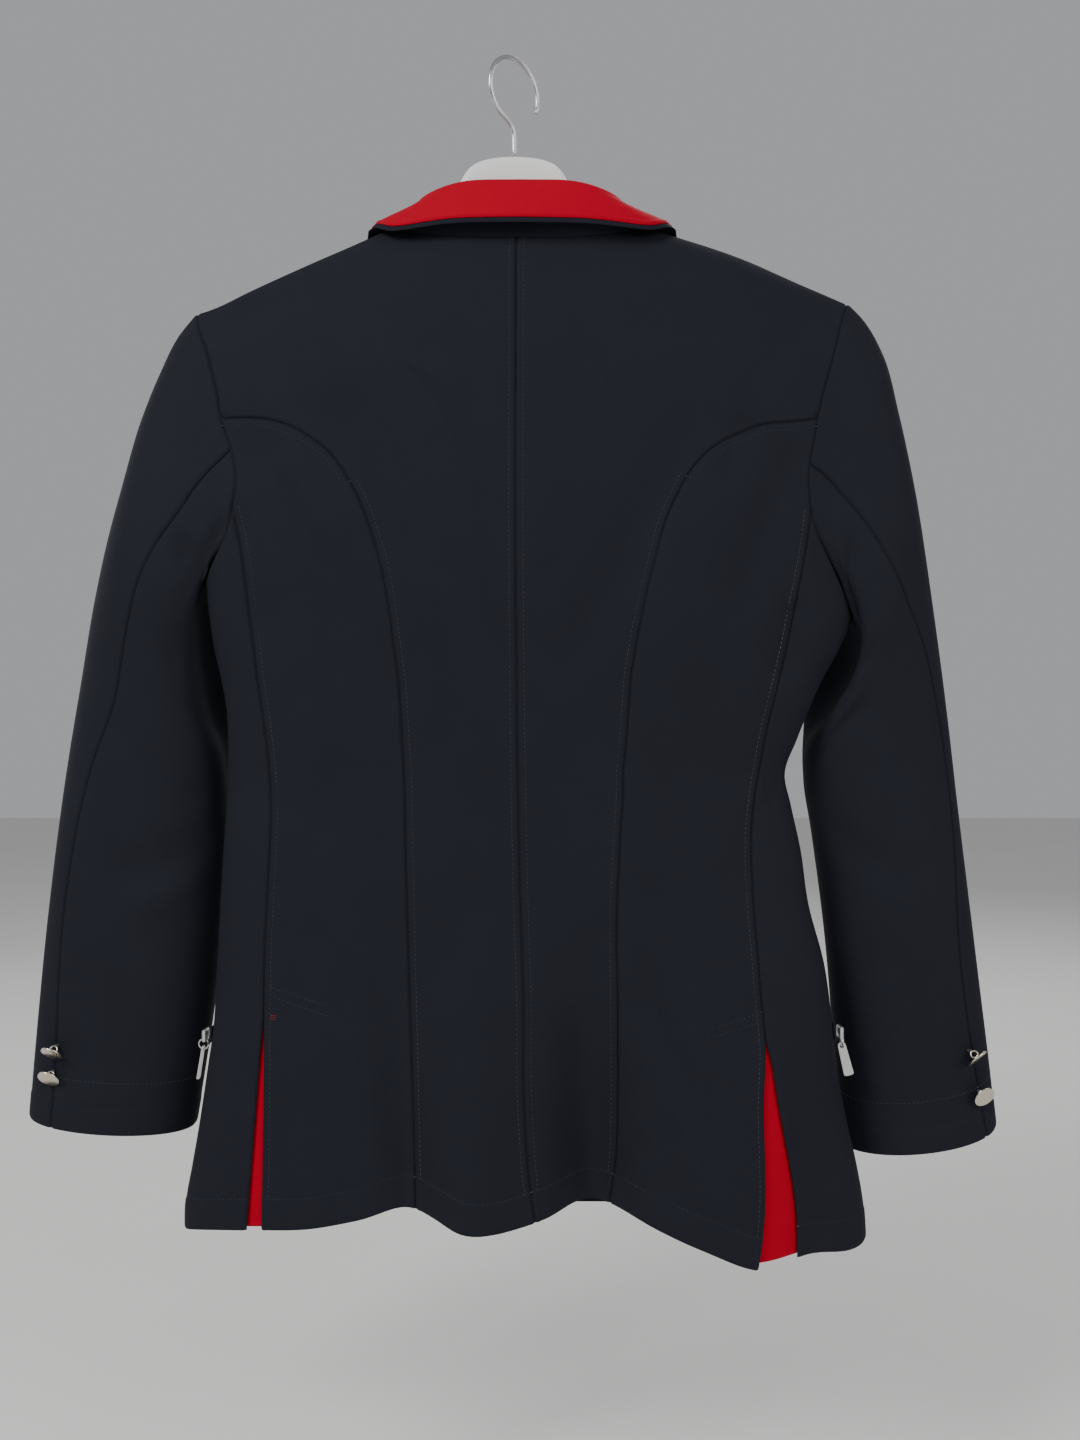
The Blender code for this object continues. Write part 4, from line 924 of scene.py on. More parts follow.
@dataclass
class Cloth:
    """A cut piece of cloth that becomes a closed wall."""

    name: str
    slot: Slot
    surface: Surface
    thickness: float = 1.6
    inset: float = 0.0
    sizes: SeamSizes = field(default_factory=SeamSizes)
    seams: list[Seam] = field(default_factory=list)
    points: Array = field(default_factory=lambda: np.zeros((0, 3)))
    out: Array = field(default_factory=lambda: np.zeros((0, 3)))
    faces: list[list[int]] = field(default_factory=list)
    weave: list[Array] = field(default_factory=list)
    border: list[int] = field(default_factory=list)
    spans: list[tuple[float, float, float]] = field(default_factory=list)
    samples: int = 260
    weld: float = 0.02

    def edges(self, kind: SeamKind, inside: tuple[float, float], *curves: Curve) -> None:
        """Notes lines as edges of one finish."""
        share = np.linspace(0, 1, self.samples)
        self.seams += [Seam(curve(share), kind, inside) for curve in curves]

    def fill(self, patch: Patch, rows: Array, cells: int, end: Sequence[float] = NEAR_SEAM,
             start: Sequence[float] = NEAR_SEAM, weave_start: Optional[Array] = None) -> Array:
        """Adds the grid of a patch.

        Args:
            patch: the stretch of cloth.
            rows: shares of the way down.
            cells: how many even cells a row has.
            end: distances from the row's end that get a column.
            start: the same from its start.
            weave_start: each row's first position across the weave.

        Returns:
            Each row's last position across the weave.
        """
        over = spread(patch.widths(self.surface, rows), cells, start, end)
        return self.add(patch.places(over, rows), weave_start)

    def add(self, places: Array, weave_start: Optional[Array] = None) -> Array:
        """Adds a grid of places, joined to the grids that share its edges.

        Args:
            places: rows of places.
            weave_start: each row's first position across the weave.

        Returns:
            Each row's last position across the weave.
        """
        points, out = self.surface(places)
        steps = np.linalg.norm(np.diff(points, axis=1), axis=2)
        across = np.concatenate([np.zeros((len(points), 1)), steps.cumsum(axis=1)], axis=1)
        across = across - across[:, -1:] / 2 if weave_start is None else across + weave_start[:, None]
        steps = np.linalg.norm(np.diff(points, axis=0), axis=2).mean(axis=1)
        down = np.broadcast_to(np.append(0, steps.cumsum())[:, None], across.shape)
        self.spans.append((across.min(), across.max(), down[-1, 0]))
        rows, columns = across.shape
        ids = len(self.points) + np.arange(rows * columns).reshape(rows, columns)
        edge = np.zeros((rows, columns), bool)
        edge[[0, -1]] = edge[:, [0, -1]] = True
        fresh = ids.copy()
        if self.border:
            known = np.array(self.border)
            gaps = np.linalg.norm(points[edge][:, None] - self.points[known][None], axis=2)
            fresh[edge] = np.where(gaps.min(axis=1) < self.weld, known[gaps.argmin(axis=1)], ids[edge])
        self.border += ids[edge].tolist()
        self.points = np.concatenate([self.points, points.reshape(-1, 3)])
        self.out = np.concatenate([self.out, out.reshape(-1, 3)])
        weave = pair(across, down) * MM
        corners = [(slice(0, -1), slice(0, -1)), (slice(0, -1), slice(1, None)),
                   (slice(1, None), slice(1, None)), (slice(1, None), slice(0, -1))]
        self.faces += np.stack([fresh[at] for at in corners], axis=-1).reshape(-1, 4).tolist()
        self.weave.append(np.stack([weave[at] for at in corners], axis=-2).reshape(-1, 4, 2))
        return across[:, -1]

    def rim(self) -> list[tuple[int, int, list[int]]]:
        """Edges that only one face uses.

        Returns:
            The two ends and the face of each.
        """
        seen: dict[tuple[int, int], list[tuple[int, int, list[int]]]] = {}
        for face in self.faces:
            for start, end in zip(face, face[1:] + face[:1]):
                seen.setdefault((min(start, end), max(start, end)), []).append((start, end, face))
        return [uses[0] for uses in seen.values() if len(uses) == 1]

    def pull_in(self, rim: list[tuple[int, int, list[int]]]) -> None:
        """Moves the rim in from the seam lines.

        Args:
            rim: the edges that only one face uses.
        """
        pulls: dict[int, list[Array]] = {}
        for start, end, face in rim:
            along = unit(self.points[end] - self.points[start])
            inward = self.points[face].mean(axis=0) - self.points[start]
            inward = unit(inward - along * np.dot(inward, along))
            pulls.setdefault(start, []).append(inward)
            pulls.setdefault(end, []).append(inward)
        for corner, both in pulls.items():
            share = max(1 + float(np.dot(both[0], both[-1])), 0.5)
            self.points[corner] = self.points[corner] + self.inset * (both[0] + both[-1]) / share

    def make(self, finish: bpy.types.Material, stitching: Optional["Stitching"] = None) -> bpy.types.Object:
        """Closed wall of the cloth, with its seams' relief and its weave's map.

        Args:
            finish: the cloth's material.
            stitching: where its topstitched edges get their stitches.

        Returns:
            The piece, which rides on the jacket.
        """
        relief = np.zeros(len(self.points))
        stitched = {SeamKind.TOPSTITCHED: self.sizes.stitch_at, SeamKind.HEM: self.sizes.hem_at}
        for seam in self.seams:
            ends, _ = self.surface(seam.places)
            relief = relief + self.sizes.relief(seam.kind, distance_to_line(self.points, ends))
            if stitching is not None and seam.kind in stitched:
                stitching.beside(self.surface, seam, stitched[seam.kind])
        rim = self.rim()
        self.pull_in(rim)
        count = len(self.points)
        outer = self.points + self.out * relief[:, None]
        inner = self.points - self.out * self.thickness
        faces = self.faces + [[count + i for i in reversed(face)] for face in self.faces]
        faces += [[end, start, count + start, count + end] for start, end, _ in rim]
        thing = mesh_object(self.name + "_cloth", np.concatenate([outer, inner]), faces, finish)
        weave = np.concatenate(self.weave)
        flat = np.concatenate([weave, weave[:, ::-1], np.zeros((len(rim), 4, 2))])
        thing.data.uv_layers.new(name="weave").data.foreach_set("uv", flat.ravel())
        face_outwards(thing)
        corners = self.points[np.array(self.faces)]
        one, other = corners[:, 2] - corners[:, 0], corners[:, 3] - corners[:, 1]
        area = float(np.linalg.norm(np.cross(one, other), axis=1).sum() / 2) * MM * MM
        starts, ends, lengths = np.array(self.spans).T
        width = round(float(ends.max() - starts.min()) * MM, 3)
        length = round(float(max(lengths.max(), np.ptp(self.points[:, 2]))) * MM, 3)
        area = min(max(area, 0.3 * width * length), width * length)
        log.info("%s: %d faces, %.3f by %.3f m, %.4f m2", self.name, len(faces), width, length, area)
        dress(thing, self.slot, self.name)
        return thing


def mesh_object(name: str, points: Array, faces: list[list[int]], finish: bpy.types.Material,
                angle: float = 50) -> bpy.types.Object:
    """Object from points in millimetres.

    Args:
        name: the object's name.
        points: its points, where those that no face uses are left out.
        faces: its faces, as numbers of points.
        finish: its material.
        angle: edges sharper than this, in degrees, stay sharp.

    Returns:
        The object, at the origin.
    """
    used = np.unique(np.concatenate([np.asarray(face) for face in faces]))
    number = np.full(len(points), -1)
    number[used] = np.arange(len(used))
    mesh = bpy.data.meshes.new(name)
    mesh.from_pydata((points[used] * MM).tolist(), [], [number[face].tolist() for face in faces])
    thing = bpy.data.objects.new(name, mesh)
    bpy.context.scene.collection.objects.link(thing)
    mesh.materials.append(finish)
    mesh.shade_smooth()
    mesh.set_sharp_from_angle(angle=math.radians(angle))
    return thing


def face_outwards(thing: bpy.types.Object) -> None:
    """Turns a mesh's faces outwards.

    Args:
        thing: the mesh's object.
    """
    shape = bmesh.new()
    shape.from_mesh(thing.data)
    bmesh.ops.recalc_face_normals(shape, faces=shape.faces)
    shape.to_mesh(thing.data)
    shape.free()


def tubes(name: str, points: Array, around: int, rings: int, finish: bpy.types.Material, slot: Slot,
          angle: float = 80) -> bpy.types.Object:
    """One piece made of closed tubes.

    Args:
        name: the piece's name.
        points: the tubes' points, ring by ring and tube by tube.
        around: how many points a ring has.
        rings: how many rings a tube has.
        finish: its material.
        slot: its slot.
        angle: edges sharper than this, in degrees, stay sharp.

    Returns:
        The piece, which rides on the jacket.
    """
    size = around * rings
    tube = [list(range(around))[::-1], list(range(size - around, size))]
    for first in range(0, size - around, around):
        for j in range(around):
            near, far = first + j, first + (j + 1) % around
            tube.append([near, far, far + around, near + around])
    faces = [[start + i for i in face] for start in range(0, len(points), size) for face in tube]
    thing = mesh_object(name, points, faces, finish, angle)
    face_outwards(thing)
    dress(thing, slot)
    log.info("%s: %d tubes", name, len(points) // size)
    return thing


def dress(thing: bpy.types.Object, slot: Slot, *nodes: str) -> None:
    """Makes a piece ride on the jacket and stand for its nodes, which are hidden."""
    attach(thing, JACKET)
    if nodes:
        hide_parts(*nodes)


@dataclass
class Stitching:
    """Rows of machine stitches on the cloth, with one short thread for each stitch."""

    name: str
    slot: Slot
    pitch: float = 3.0
    length: float = 2.4
    width: float = 0.75
    height: float = 0.42
    sink: float = 0.22
    buried: float = 0.25
    probe: float = 1e-3
    sections: tuple[tuple[float, float, float], ...] = (
        (-0.5, 0.35, -0.3), (-0.25, 1.0, 0.75), (0.25, 1.0, 0.75), (0.5, 0.35, -0.3))
    threads: list[Array] = field(default_factory=list)

    def row(self, points: Array, out: Array) -> None:
        """Adds the stitches of one row along a line on the cloth, whose direction at each point is out.

        Args:
            points: the line.
            out: the cloth's direction at each point.
        """
        along = lengths(points)
        middles = (np.arange(int(along[-1] // self.pitch)) + 0.5) * self.pitch
        up = unit(read(middles, along, out))
        forward = unit(read(middles + 1, along, points) - read(middles - 1, along, points))
        across = unit(np.cross(up, forward)) * self.width / 2
        place = read(middles, along, points) - up * self.sink
        rings = []
        for share, wide, high in self.sections:
            base = place + forward * self.length * share
            foot = base - up * self.buried
            top = base + up * self.height * (high + self.buried)
            rings += [foot - across * wide, top, foot + across * wide]
        self.threads.append(np.stack(rings, axis=1).reshape(-1, 3))

    def beside(self, surface: Surface, seam: Seam, distance: float) -> None:
        """Adds a row of stitches at a distance inside a seam of a surface.

        Args:
            surface: the surface.
            seam: the seam.
            distance: the distance inside it.
        """
        points, out = surface(seam.places)
        target, _ = surface(np.array([seam.inside], float))
        inward = unit(np.cross(out, unit(np.gradient(points, axis=0))))
        inward = inward * np.where((inward * (target - points)).sum(axis=1) < 0, -1, 1)[:, None]
        steps = np.eye(2) * self.probe
        ahead, behind = [[surface(seam.places + sign * step)[0] for step in steps] for sign in (1, -1)]
        moves = (np.stack(ahead, axis=-1) - np.stack(behind, axis=-1)) / (2 * self.probe)
        turned = np.swapaxes(moves, 1, 2)
        shift = np.linalg.solve(turned @ moves, turned @ (inward * distance)[..., None])[..., 0]
        self.row(*surface(seam.places + shift))

    def make(self, finish: bpy.types.Material) -> bpy.types.Object:
        """All the stitches as one piece."""
        return tubes(self.name, np.concatenate(self.threads), 3, len(self.sections), finish, self.slot)


# The jacket's pieces


@dataclass
class Jacket:
    """The jacket's cut pieces of cloth."""

    navy: bpy.types.Material
    red: bpy.types.Material
    stitching: Stitching
    body: BodyForm = field(default_factory=BodyForm)
    neck: Optional[NeckForm] = None
    sleeves: dict[Side, SleeveForm] = field(default_factory=dict)
    neck_share: float = 0.38
    notch_share: float = 0.174
    waist_share: float = 0.52
    notch_height: float = -222
    waist_height: float = -342
    gorge_share: float = 0.28
    break_share: float = 0.76
    chest_drop: float = 8
    break_point: dict[Side, tuple[float, float]] = sides((-14, -292), (-16, -292))
    lapel_foot: dict[Side, float] = sides(-266, -288)
    lapel_edge: dict[Side, Table] = sides(
        table("x height", (100, -196), (84, -224), (58, -250), (30, -263), (7, -268)),
        table("x height", (103, -196), (86, -226), (56, -256), (22, -279), (-9, -290)))
    lapel_lift: tuple[float, ...] = (1.8, 4.6, 4.8, 4.2, 3.4)
    lapel_drop: float = 3
    overlap: float = 17
    underlap: float = 3.0
    underlap_from: tuple[float, float] = (38, 78)
    trim_thickness: float = 1.2
    inset_depth: float = 3.0
    inset_reach: float = 0.0467
    layer_gap: float = 1.55
    cuff_hem: float = 18
    skirt_row: float = -760
    armhole_front: tuple[float, float] = (359.99, 180.01)
    inset_above: float = 3
    inset_hem: float = 1.5
    vent_rows: dict[Side, tuple] = sides(
        (((158, -611.7), (118.4, -623)), ((155.5, -618), (118, -629.6))),
        (((160.5, -625.8), (121, -637)), ((160, -632), (121, -642))))
    tack_across: tuple[float, ...] = (157.0, 155.5, 154.0, 152.5)
    tack_heights: tuple[float, ...] = (-630.0, -631.2, -632.4)

    def __post_init__(self) -> None:
        """Makes the forms that hang on the body's."""
        self.neck = NeckForm(self.body)
        self.sleeves = {Side.LEFT: left_sleeve(self.body), Side.RIGHT: right_sleeve(self.body)}

    def cloth(self, piece: str, side: Side, surface: Optional[Surface] = None, slot: Slot = Slot.NAVY,
              **values: Any) -> Cloth:
        """A piece of cloth of one side, on the body's surface if none is given."""
        return Cloth(f"{piece}_{side.word}", slot, surface or self.body.surface, **values)

    # Lines where pieces meet

    def hem(self, start: float, end: float) -> Curve:
        """The hem between two turns."""
        return even(lambda turn: pair(turn, self.body.hem(turn)), start, end)

    def armhole(self, side: Side, start: float, end: float) -> Curve:
        """The armhole between two ring turns in degrees."""
        return even(lambda degrees: self.sleeves[side].armhole_place(np.radians(degrees)), start, end)

    def princess(self, side: Side) -> Curve:
        """The princess seam from the armhole to the hem.

        Args:
            side: its side.

        Returns:
            The line.
        """
        sleeve, seam = self.sleeves[side], self.body.princess
        places = self.body.back_place(side, seam[side.word + "_x"], seam[side.word + "_height"])
        places[0] = sleeve.armhole_place(math.radians(sleeve.notch_turn))
        places[-1, 1] = self.body.hem(places[-1, 0])
        return line(places)

    def side_seam(self, side: Side, of_front: bool) -> Curve:
        """The side seam and one edge of the vent below it.

        Args:
            side: the side it is on.
            of_front: whether it is the front's edge of the vent, or the back's.

        Returns:
            The line, from the armhole to the hem.
        """
        body, sleeve, vent = self.body, self.sleeves[side], self.body.vent_top[side]
        heights, across = body.side_seam["height"], body.side_seam[side.word]
        top_turn, top = sleeve.armhole_place(math.radians(sleeve.side_top_turn))
        top_x = abs(body.point(top_turn, top)[0])
        bottom = float(body.hem(body.turn_at(side, across[-2], heights[-2])))

        def place(height: Array) -> Array:
            """A place of the seam at a height."""
            x = smooth(heights, across, height)
            x = x + (top_x - smooth(heights, across, top)) * (1 - ease((top - height) / body.seam_start))
            if of_front:
                opened = np.clip((vent - height) / (vent - bottom), 0, 1) ** body.vent_curve
                x = x + body.vent_opening[side] * opened
            return body.back_place(side, x, height)

        return even(place, top, float(body.hem(place(np.array(bottom))[0])))

    def centre_back(self, side: Side) -> Curve:
        """The centre back seam from the neckline to the hem.

        Args:
            side: its side.

        Returns:
            The line.
        """
        def place(height: Array) -> Array:
            """A place of the seam at a height."""
            x = side.value * smooth(*self.body.centre_back.values(), height)
            return self.body.back_place(side, x, height)

        top = float(self.neck.places(side, np.array([0.0]))[0, 1])
        bottom = float(self.body.hem(place(np.array(self.skirt_row, float))[0]))
        shares = (0, self.notch_share, self.waist_share, 1)
        heights = (top, self.notch_height, self.waist_height, bottom)
        return lambda share: place(np.interp(np.asarray(share, float), shares, heights))

    def neckline(self, side: Side, start: float, end: float) -> Curve:
        """The neckline between two stations."""
        return even(lambda station: self.neck.places(side, station), start, end)

    def shoulder_seam(self, side: Side) -> Curve:
        """The shoulder seam from the neck point to the tip, on the back."""
        near = self.neck.neckline[side.word + "_x"][self.neck.neck_point]
        tip = self.sleeves[side].rings["outer_x"][0]
        return even(lambda x: self.body.back_place(side, x, self.body.shoulder(side.value * x)), near, tip)

    def at_front(self, side: Side, x: Callable[[Array], Array], start: float, end: float) -> Curve:
        """A line on the front at distances from the middle between two heights."""
        return lambda share: self.body.front_place(side, x(share), start + (end - start) * share)

    def chest_row(self, side: Side) -> float:
        """Height at the centre front of the row where the front's chest and skirt meet."""
        return self.sleeves[side].rings["inner_z"][0] - self.chest_drop

    def roll_line(self, side: Side) -> tuple[float, ...]:
        """The gorge's distance from the middle and height, and the break point's."""
        gorge = [self.neck.neckline[side.word + end][self.neck.gorge] for end in ("_x", "_height")]
        return (*gorge, *self.break_point[side])

    def front_skirt_edge(self, side: Side) -> Curve:
        """The front's free edge below the chest."""
        top, bottom = self.chest_row(side), float(self.body.hem(np.array(side.value * np.pi)))
        return self.at_front(side, lambda share: np.full_like(share, -self.overlap), top, bottom)

    def front_chest_edge(self, side: Side) -> Curve:
        """The front's neckline, roll line and free edge down to the chest row.

        Args:
            side: its side.

        Returns:
            The line.
        """
        gorge_x, gorge_z, break_x, break_z = self.roll_line(side)
        neck = self.neckline(side, self.neck.neck_point + 1e-6, self.neck.gorge)
        roll = self.at_front(side, lambda share: gorge_x + (break_x - gorge_x) * share, gorge_z, break_z)
        stops = (0, 0.15, 1), (break_x, -self.overlap, -self.overlap)
        chest = self.at_front(side, lambda share: np.interp(share, *stops), break_z, self.chest_row(side))
        return chain((neck, roll, chest), (0, self.gorge_share, self.break_share, 1))

    # Pieces

    def build_back(self, side: Side) -> None:
        """Centre back piece, from the centre back seam to the armhole and the princess seam.

        Args:
            side: its side.
        """
        armhole, princess = self.armhole(side, 0, self.sleeves[side].notch_turn), self.princess(side)
        neck, shoulder = self.neckline(side, 0, self.neck.neck_point), self.shoulder_seam(side)
        middle, outer = self.centre_back(side), chain((armhole, princess), (0, self.notch_share, 1))
        top = chain((neck, shoulder), (0, self.neck_share, 1))
        hem = self.hem(on(middle, 1)[0], on(outer, 1)[0])
        rows = np.concatenate([
            spread(110, 24, NEAR_SEAM, (0,))[0] * self.notch_share,
            graded((self.notch_share, self.waist_share), (43,))[1:],
            self.waist_share + (1 - self.waist_share) * spread(425, 74, (0,), NEAR_HEM)[0][1:],
        ])
        cloth = self.cloth("back", side)
        cloth.fill(Patch(middle, outer, top, hem), rows, 36)
        inside = (side.value * 0.2, -400.0)
        cloth.edges(SeamKind.TOPSTITCHED, inside, middle, princess)
        cloth.edges(SeamKind.PLAIN, inside, armhole, neck, shoulder)
        cloth.edges(SeamKind.HEM, inside, hem)
        cloth.make(self.navy, self.stitching)

    def build_side_back(self, side: Side) -> None:
        """Side back piece, from the princess seam to the side seam and the vent.

        Args:
            side: its side.
        """
        sleeve = self.sleeves[side]
        inner, outer = self.princess(side), self.side_seam(side, False)
        ends = [float(on(curve, 1)[0]) for curve in (inner, outer)]
        top, hem = self.armhole(side, sleeve.notch_turn, sleeve.side_top_turn), self.hem(*ends)
        cloth = self.cloth("side_back", side)
        cloth.fill(Patch(inner, outer, top, hem), spread(520, 110, NEAR_SEAM, NEAR_HEM)[0], 20)
        inside = (float(np.mean(ends)), -500.0)
        cloth.edges(SeamKind.PLAIN, inside, inner, top)
        cloth.edges(SeamKind.TOPSTITCHED, inside, outer)
        cloth.edges(SeamKind.HEM, inside, hem)
        cloth.make(self.navy, self.stitching)

    def front_surface(self, side: Side) -> Surface:
        """The front's surface, where the left one goes under the right one.

        Args:
            side: its side.

        Returns:
            The surface.
        """
        start, end = self.underlap_from

        def lift(point: Array) -> Array:
            """How far a point of the left front is moved out."""
            under = -self.underlap * (1 - ease((point[..., 0] - start) / (end - start)))
            return np.where(point[..., 1] < 0, under, 0)
        return moved(self.body.surface, lift) if side is Side.LEFT else self.body.surface

    def build_front(self, side: Side) -> None:
        """Front piece, from the side seam and vent round to its overlap at the centre front.

        Args:
            side: its side.
        """
        sleeve, quarter = self.sleeves[side], side.value * np.pi / 2
        seam, shoulder = self.side_seam(side, True), self.shoulder_seam(side)
        lower = self.armhole(side, sleeve.side_top_turn, 180)
        armhole = self.armhole(side, *self.armhole_front)
        underarm = sleeve.armhole_place(np.array([np.pi]))[0]
        fold = straight(underarm, np.array([quarter, float(self.body.hem(np.array(quarter)))]))
        skirt, chest = self.front_skirt_edge(side), self.front_chest_edge(side)
        chest_row = straight(underarm, on(skirt, 0))
        top = even(lambda share: self.body.to_front(side, shoulder(share)), 1, 0)
        seam_end, skirt_end = on(seam, 1)[0], on(skirt, 1)[0]
        cloth = self.cloth("front", side, self.front_surface(side))
        rows = spread(440, 90, NEAR_SEAM, NEAR_HEM)[0]
        reached = cloth.fill(Patch(seam, fold, lower, self.hem(seam_end, quarter)), rows, 12, (0,))
        skirt_patch = Patch(fold, skirt, chest_row, self.hem(quarter, skirt_end))
        cloth.fill(skirt_patch, rows, 46, NEAR_FOLD, weave_start=reached)
        rows = graded((0, self.gorge_share, self.break_share, 1), (18, 36, 14))
        chest_patch = Patch(armhole, chest, top, chest_row)
        cloth.fill(chest_patch, rows, 46, NEAR_FOLD, weave_start=reached[:1].repeat(len(rows)))
        inside = (side.value * np.radians(125), -400.0)
        cloth.edges(SeamKind.PLAIN, inside, seam, lower, armhole, top)
        cloth.edges(SeamKind.HEM, inside, self.hem(seam_end, skirt_end))
        cloth.edges(SeamKind.ROLLED, inside, chest, skirt)
        cloth.make(self.navy, self.stitching)

    def build_lapel(self, side: Side) -> None:
        """Lapel, turned back over the front along the roll line.

        Args:
            side: its side.
        """
        gorge_x, gorge_z, break_x, break_z = self.roll_line(side)
        edge, foot, start = self.lapel_edge[side], self.lapel_foot[side], gorge_z - self.lapel_drop
        keys = np.linspace(0, 1, len(edge["x"]))
        toward = (foot - gorge_z) / (break_z - gorge_z)

        def surface(places: Array) -> tuple[Array, Array]:
            """Points and directions at places of shares over and down the lapel."""
            over, down = places[..., 0], places[..., 1]
            root_x = gorge_x + (break_x - gorge_x) * toward * down
            root_z = start + (foot - start) * down
            x = root_x + (smooth(keys, edge["x"], down) - root_x) * over
            height = root_z + (smooth(keys, edge["height"], down) - root_z) * over
            point, out = self.body.surface(self.body.front_place(side, x, height))
            lift = smooth(np.linspace(0, 1, len(self.lapel_lift)), np.array(self.lapel_lift), over)
            return point + out * lift[..., None], out

        rows = spread(150, 36, NEAR_FOLD, NEAR_FOLD)[0]
        over = spread(np.full(len(rows), 60.0), 16, NEAR_FOLD, NEAR_FOLD)
        cloth = self.cloth("lapel", side, surface, thickness=self.trim_thickness, samples=120)
        cloth.add(pair(over, np.broadcast_to(rows[:, None], over.shape)))
        corners = [np.array(at, float) for at in ((0, 0), (1, 0), (1, 1), (0, 1))]
        cloth.edges(SeamKind.ROLLED, (0.5, 0.5), *map(straight, corners, corners[1:]))
        cloth.make(self.navy)

    def build_collar(self) -> None:
        """Under collar, and the top collar that lies on it and shows a rolled edge."""
        gorge = self.neck.gorge
        size = graded((0, self.neck.neck_point, gorge), (57, 61))
        station = np.concatenate([-size[:0:-1], size])
        for name, finish, slot, first, last, lift in (
            ("under_collar", self.navy, Slot.NAVY, 0.0, 1.0, 0.0),
            ("top_collar", self.red, Slot.RED, 0.08, 0.96, self.layer_gap),
        ):
            cloth = Cloth(name, slot, moved(self.neck.surface, lift), self.trim_thickness)
            rows = graded((first, 0.4, 0.64, 0.82, last), (8, 11, 6, 12))
            cloth.add(np.stack(np.meshgrid(station, rows), axis=-1))
            ends = [pair(np.full(40, float(end)), np.linspace(first, last, 40)) for end in (-gorge, gorge)]
            for edge in (pair(station, np.full_like(station, last)), *ends):
                cloth.seams.append(Seam(edge, SeamKind.ROLLED, (0, 0.7)))
            cloth.make(finish)

    def build_sleeve(self, side: Side) -> None:
        """Upper and under sleeve, between the back seam and the front seam.

        Args:
            side: its side.
        """
        sleeve, rings = self.sleeves[side], self.sleeves[side].rings
        near_cuff = [min(at, at * 0.9 + 0.02) for at in NEAR_HEM]
        rows = spread(sleeve.length, 110, NEAR_SEAM, near_cuff)[0]

        def seam(column: str, turned: float = 0) -> Curve:
            """One of the sleeve's long seams."""
            def place(down: Array) -> Array:
                """A place of the seam at a distance down."""
                return pair(np.radians(smooth(rings["station"], rings[column], down) + turned), down)
            return even(place, 0, sleeve.length)

        for piece, first, second in (
            ("under_sleeve", seam("back_seam"), seam("front_seam")),
            ("upper_sleeve", seam("front_seam", -360), seam("back_seam")),
        ):
            top, bottom = [straight(on(first, end), on(second, end)) for end in (0, 1)]
            cloth = self.cloth(
                piece, side, sleeve.surface, sizes=SeamSizes(hem_at=self.cuff_hem), samples=220)
            cloth.fill(Patch(first, second, top, bottom), rows, 34)
            inside = tuple(on(first, 0.5) / 2 + on(second, 0.5) / 2)
            cloth.edges(SeamKind.PLAIN, inside, first, second, top)
            cloth.edges(SeamKind.HEM, inside, bottom)
            cloth.make(self.navy, self.stitching)

    def build_vent_inset(self, side: Side) -> None:
        """Red inset behind the vent.

        Args:
            side: its side.
        """
        vent, reach, edges = self.body.vent_top[side], side.value * self.inset_reach, []
        for of_front, shift in ((False, -reach), (True, reach)):
            whole = self.side_seam(side, of_front)(np.linspace(0, 1, 400))
            below = whole[whole[:, 1] < vent + 8] + (shift, 0)
            ends = float(self.body.hem(below[-1, 0])) + self.inset_hem, vent + self.inset_above
            below[:, 1] = np.interp(below[:, 1], (below[-1, 1], below[0, 1]), ends)
            edges.append(line(below))
        top, bottom = [straight(*[on(edge, at) for edge in edges]) for at in (0, 1)]
        surface = moved(self.body.surface, -self.inset_depth)
        cloth = self.cloth("vent_inset", side, surface, Slot.RED, thickness=self.trim_thickness, samples=60)
        beside = (0, 0.6)
        cloth.fill(Patch(*edges, top, bottom), spread(130, 40, beside, NEAR_FOLD)[0], 14, beside, beside)
        cloth.edges(SeamKind.ROLLED, tuple(on(bottom, 0.5) + (0, 30)), bottom)
        cloth.make(self.red)

    def stitch_vent_top(self, side: Side, tack: Stitching) -> None:
        """Double row that holds the vent's top, with a bar tack at its end on the left.

        Args:
            side: its side.
            tack: the stitches that it joins.
        """
        share = np.linspace(0, 1, 40)[:, None]
        for start, end in self.vent_rows[side]:
            x, height = (np.array(start) * (1 - share) + np.array(end) * share).T
            self.stitching.row(*self.body.surface(self.body.back_place(side, x, height)))
        if side is Side.LEFT:
            for height in self.tack_heights:
                x = np.array(self.tack_across)
                tack.row(*self.body.surface(self.body.back_place(side, x, np.full_like(x, height))))

    def build(self) -> None:
        """All the cut pieces."""
        for side in Side:
            for build in (self.build_back, self.build_side_back, self.build_front, self.build_lapel,
                          self.build_sleeve, self.build_vent_inset):
                build(side)
        self.build_collar()


# Trims


def select_only(thing: bpy.types.Object) -> None:
    """Selects one object and makes it active."""
    bpy.ops.object.select_all(action="DESELECT")
    thing.select_set(True)
    bpy.context.view_layer.objects.active = thing


def select_faces(thing: bpy.types.Object, wanted: Callable[[bmesh.types.BMFace], bool]) -> None:
    """Selects the faces of the mesh in edit mode that pass a test.

    Args:
        thing: the mesh's object.
        wanted: the test.
    """
    shape = bmesh.from_edit_mesh(thing.data)
    for face in shape.faces:
        face.select = wanted(face)
    shape.select_flush_mode()
    bmesh.update_edit_mesh(thing.data)


def settle(thing: bpy.types.Object, name: str, finish: bpy.types.Material, to: Matrix) -> None:
    """Names a finished piece and puts its place into its mesh.

    Args:
        thing: the piece.
        name: its name.
        finish: its material.
        to: its place.
    """
    thing.name = thing.data.name = name
    thing.data.transform(to)
    thing.matrix_world = Matrix.Identity(4)
    thing.data.materials.clear()
    thing.data.materials.append(finish)


